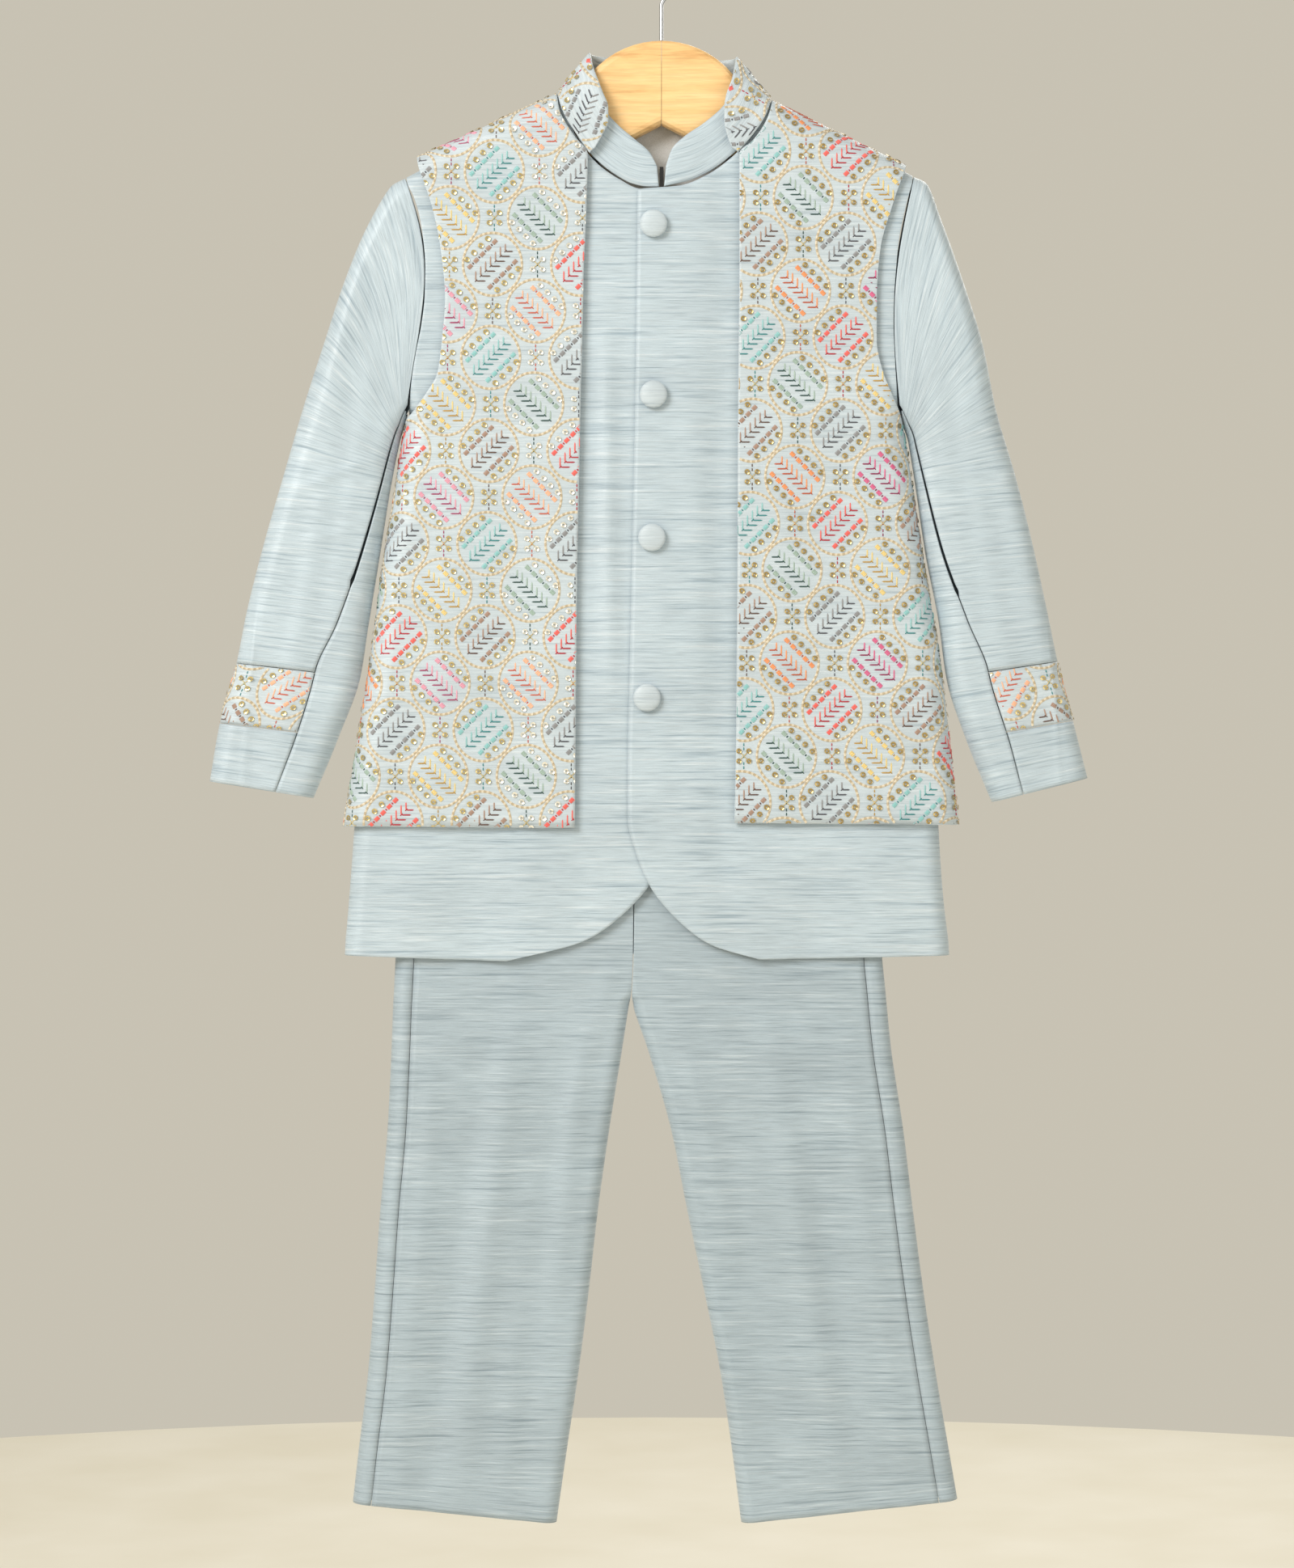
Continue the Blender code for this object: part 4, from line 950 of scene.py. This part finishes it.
    def finish(self, name, slot):
        used = sorted({k for face in self.faces for k in face})
        place = {k: n for n, k in enumerate(used)}
        mesh = bpy.data.meshes.new(name)
        mesh.from_pydata([self.points[k] * MM for k in used], [], [[place[k] for k in f] for f in self.faces])
        layer = mesh.color_attributes.new("Thread", "FLOAT_COLOR", "CORNER")
        for polygon, colour, kind in zip(mesh.polygons, self.colours, self.kinds):
            polygon.material_index = kind
            for corner in polygon.loop_indices:
                layer.data[corner].color = (*colour, 1)
        mesh.shade_smooth()
        print(name, len(mesh.polygons), "faces")
        return shown(name, mesh, (THREAD, SEQUIN))


def tube(name, points, radius, finish, sides=10, replaced=()):
    """A round cord of cloth or wire along a path in millimetres."""
    curve = bpy.data.curves.new(name, "CURVE")
    curve.dimensions = "3D"
    curve.bevel_depth = radius * MM
    curve.bevel_resolution = sides // 2 - 1
    curve.use_fill_caps = True
    spline = curve.splines.new("POLY")
    spline.points.add(len(points) - 1)
    for at, point in zip(spline.points, points):
        at.co = (*(Vector(point) * MM), 1)
    made = bpy.data.objects.new(name, curve)
    bpy.context.scene.collection.objects.link(made)
    mesh = bpy.data.meshes.new_from_object(made.evaluated_get(bpy.context.evaluated_depsgraph_get()))
    bpy.data.objects.remove(made)
    mesh.materials.clear()
    mesh.shade_smooth()
    return shown(name, mesh, finish, replaced)


def hanger_hook():
    """A wire hook: a round crook, a short bend back to the middle and a straight shank."""
    middle = CROOK_INNER + WIRE_WIDTH / 2
    turns = [radians(205 - 265 * k / 60) for k in range(61)]
    points = [(middle * cos(t), 0, middle * sin(t) - CROOK_INNER) for t in turns]
    last_x, _, last_z = points[-1]
    for k in range(1, 17):
        w = k / 16
        ease = w * w * (3 - 2 * w)
        points.append((last_x * (1 - ease), 0, last_z + (SHANK_TOP - last_z) * w))
    points.append((0, 0, SHANK_END))
    tube("wire_hook", points, WIRE_WIDTH / 2, STEEL, 16, ("hanger_hook",))


def button(number, spot):
    """A dome covered in the embroidered cloth."""
    front = KURTA_DEPTH + OVERLAP_LIFT + SEAM / 2 + REST
    bm = bmesh.new()
    bmesh.ops.create_uvsphere(bm, u_segments=40, v_segments=24, radius=0.5)
    for vert in bm.verts:
        turned = Vector((vert.co.x, -vert.co.z, vert.co.y))
        vert.co = Vector((spot.x + turned.x * BUTTON_WIDTH, -front - BUTTON_HEIGHT / 2 + turned.y * BUTTON_HEIGHT,
                          spot.z + turned.z * BUTTON_WIDTH)) * MM
    uv = bm.loops.layers.uv.new("Cloth")
    for face in bm.faces:
        for loop in face.loops:
            loop[uv].uv = (loop.vert.co.x, loop.vert.co.z)
    mesh = bpy.data.meshes.new(f"covered_button_{number}")
    bm.to_mesh(mesh)
    bm.free()
    mesh.shade_smooth()
    obj = shown(f"covered_button_{number}", mesh, GROUND, (f"button_{number}",))
    return obj


def light(name, place, aim, size, power, colour):
    lamp = bpy.data.lights.new(name, "AREA")
    lamp.size = size
    lamp.energy = power
    lamp.color = colour
    obj = bpy.data.objects.new(name, lamp)
    bpy.context.scene.collection.objects.link(obj)
    obj.location = place
    obj.rotation_euler = (Vector(aim) - Vector(place)).to_track_quat("-Z", "Y").to_euler()


def stage():
    """A pale floor under the hanging part, a soft key light at the upper left, a weaker fill and a plain sky."""
    bm = bmesh.new()
    bmesh.ops.create_circle(bm, cap_ends=True, segments=96, radius=2.6)
    bmesh.ops.translate(bm, vec=(0, 0, -1.4), verts=bm.verts)
    mesh = bpy.data.meshes.new("pale_floor")
    bm.to_mesh(mesh)
    bm.free()
    floor = bpy.data.objects.new("pale_floor", mesh)
    bpy.context.scene.collection.objects.link(floor)
    mesh.materials.append(plain_finish("floor_paint", srgb(236, 231, 216), srgb(242, 238, 226), 0.8, grain=6.0))
    world = bpy.data.worlds.new("pale_room")
    world.use_nodes = True
    sky = world.node_tree.nodes["Background"]
    sky.inputs["Color"].default_value = (*srgb(247, 240, 222), 1)
    sky.inputs["Strength"].default_value = 0.62
    bpy.context.scene.world = world
    middle = (0, 0, -0.5)
    light("key", (-1.7, -2.0, 0.9), middle, 1.3, 62, (1.0, 0.985, 0.96))
    light("fill", (1.9, -2.2, -0.1), middle, 1.8, 13, (0.95, 0.98, 1.0))
    light("rear", (0.9, 2.4, 1.0), middle, 1.6, 26, (1.0, 0.99, 0.97))
    bpy.context.scene.view_settings.view_transform = "Standard"


def camera():
    """Square on, with the photograph's frame: 0.9695 m tall at the garment's front."""
    distance = 2.15
    front = -0.014
    made = bpy.data.cameras.new("front_camera")
    made.sensor_width = 36.0
    made.lens = 36.0 * distance / 0.9695
    obj = bpy.data.objects.new("front_camera", made)
    bpy.context.scene.collection.objects.link(obj)
    obj.location = (-0.009, front - distance, -0.53225)
    obj.rotation_euler = (radians(90), 0, 0)
    bpy.context.scene.camera = obj


camera()
stage()

SHOULDERS = ["hanger_arm_left", "hanger_arm_right"]
front_panel("kurta_front_right", KURTA_LEFT, KURTA_RIDGES, KURTA_DEPTH, KURTA_WALL, SILK, "slub_silk",
            KURTA_FOLDS, SHOULDERS)
over = front_panel("kurta_front_left", KURTA_RIGHT, KURTA_RIDGES, KURTA_DEPTH, KURTA_WALL, SILK, "slub_silk",
                   KURTA_FOLDS, SHOULDERS, kurta_lift)
back_panel("kurta_back", KURTA_LEFT, KURTA_RIGHT, KURTA_RIDGES, KURTA_DEPTH, KURTA_BACK_NECK, 9,
           KURTA_WALL, SILK, "slub_silk", KURTA_BACK_FOLDS, SHOULDERS)
jacket_right = front_panel("jacket_front_right", JACKET_LEFT, JACKET_RIDGES, JACKET_DEPTH, JACKET_WALL, GROUND,
                           "embroidered_silk", JACKET_FOLDS, "kurta_front_right")
jacket_left = front_panel("jacket_front_left", JACKET_RIGHT, JACKET_RIDGES, JACKET_DEPTH, JACKET_WALL, GROUND,
                          "embroidered_silk", JACKET_FOLDS, "kurta_front_left")
jacket_back = back_panel("jacket_back", JACKET_LEFT, JACKET_RIGHT, JACKET_RIDGES, JACKET_DEPTH,
                         JACKET_BACK_NECK, 8, JACKET_WALL, GROUND, "embroidered_silk", JACKET_BACK_FOLDS,
                         "kurta_back")
band_right, cuff_right = sleeve("right", SLEEVE_LEFT, -1, 1.36, SLEEVE_LEFT_FOLDS + LEFT_CREASES, "kurta_back")
band_left, cuff_left = sleeve("left", SLEEVE_RIGHT, 1, 1, SLEEVE_RIGHT_FOLDS + RIGHT_CREASES, "kurta_back")
collar("kurta_collar", KURTA_COLLAR, KURTA_WALL, SILK, "slub_silk", "kurta_back")
stand = collar("jacket_collar", JACKET_COLLAR, JACKET_WALL, GROUND, "embroidered_silk", "jacket_back")
back_lining()
leg_right = trouser_half("right", LEG_LEFT, LEG_LEFT_FOLDS)
leg_left = trouser_half("left", LEG_RIGHT, LEG_RIGHT_FOLDS)
waistband()

work = Needlework(jacket_right, 3)
work.jaal(Vector((-53.5, -383.75)), ((CORAL, GREY), (ORANGE, GREEN), (CORAL, GREY), (PINK, YELLOW),
                                     (BROWN, AQUA), (PEACH, GREEN)), (PEARL, GOLD, GOLD, GOLD, GOLD, PEARL), 0.02)
work.finish("embroidery_jacket_front_right", "embroidered_silk")
work = Needlework(jacket_left, 5)
work.jaal(Vector((52.5, -428.75)), ((AQUA, BROWN), (GREEN, ORANGE), (CORAL, GREY), (YELLOW, MAGENTA),
                                    (BROWN, AQUA), (CORAL, GREEN)), (BRASS,), 0.03)
work.finish("embroidery_jacket_front_left", "embroidered_silk")
work = Needlework(jacket_back, 7)
work.jaal(Vector((0, -400)), ((AQUA, BROWN), (GREEN, PEACH), (CORAL, GREY), (YELLOW, PINK), (BROWN, AQUA),
                              (ORANGE, GREEN)), (GOLD, PEARL))
work.finish("embroidery_jacket_back", "embroidered_silk")
work = Needlework(stand, 9)
work.jaal(Vector((8, 12)), ((GREY, PEACH), (YELLOW, CORAL)), (GOLD,))
work.finish("embroidery_jacket_collar", "embroidered_silk")
for side, band in (("right", band_right), ("left", band_left)):
    work = Needlework(band, 11)
    work.jaal(Vector((-2, (band.low.z + band.high.z) / 2 + 7)), ((PEACH, CORAL), (BROWN, AQUA)), (GOLD,))
    work.finish(f"embroidery_sleeve_band_{side}", "embroidered_silk")

hanger_hook()
for number, spot in enumerate(BUTTONS, 1):
    button(number, spot)
for name, finish in (("hanger_arm_left", WOOD), ("hanger_arm_right", WOOD), ("collar_hook", BLACK)):
    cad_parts[name].data.materials.clear()
    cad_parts[name].data.materials.append(finish)
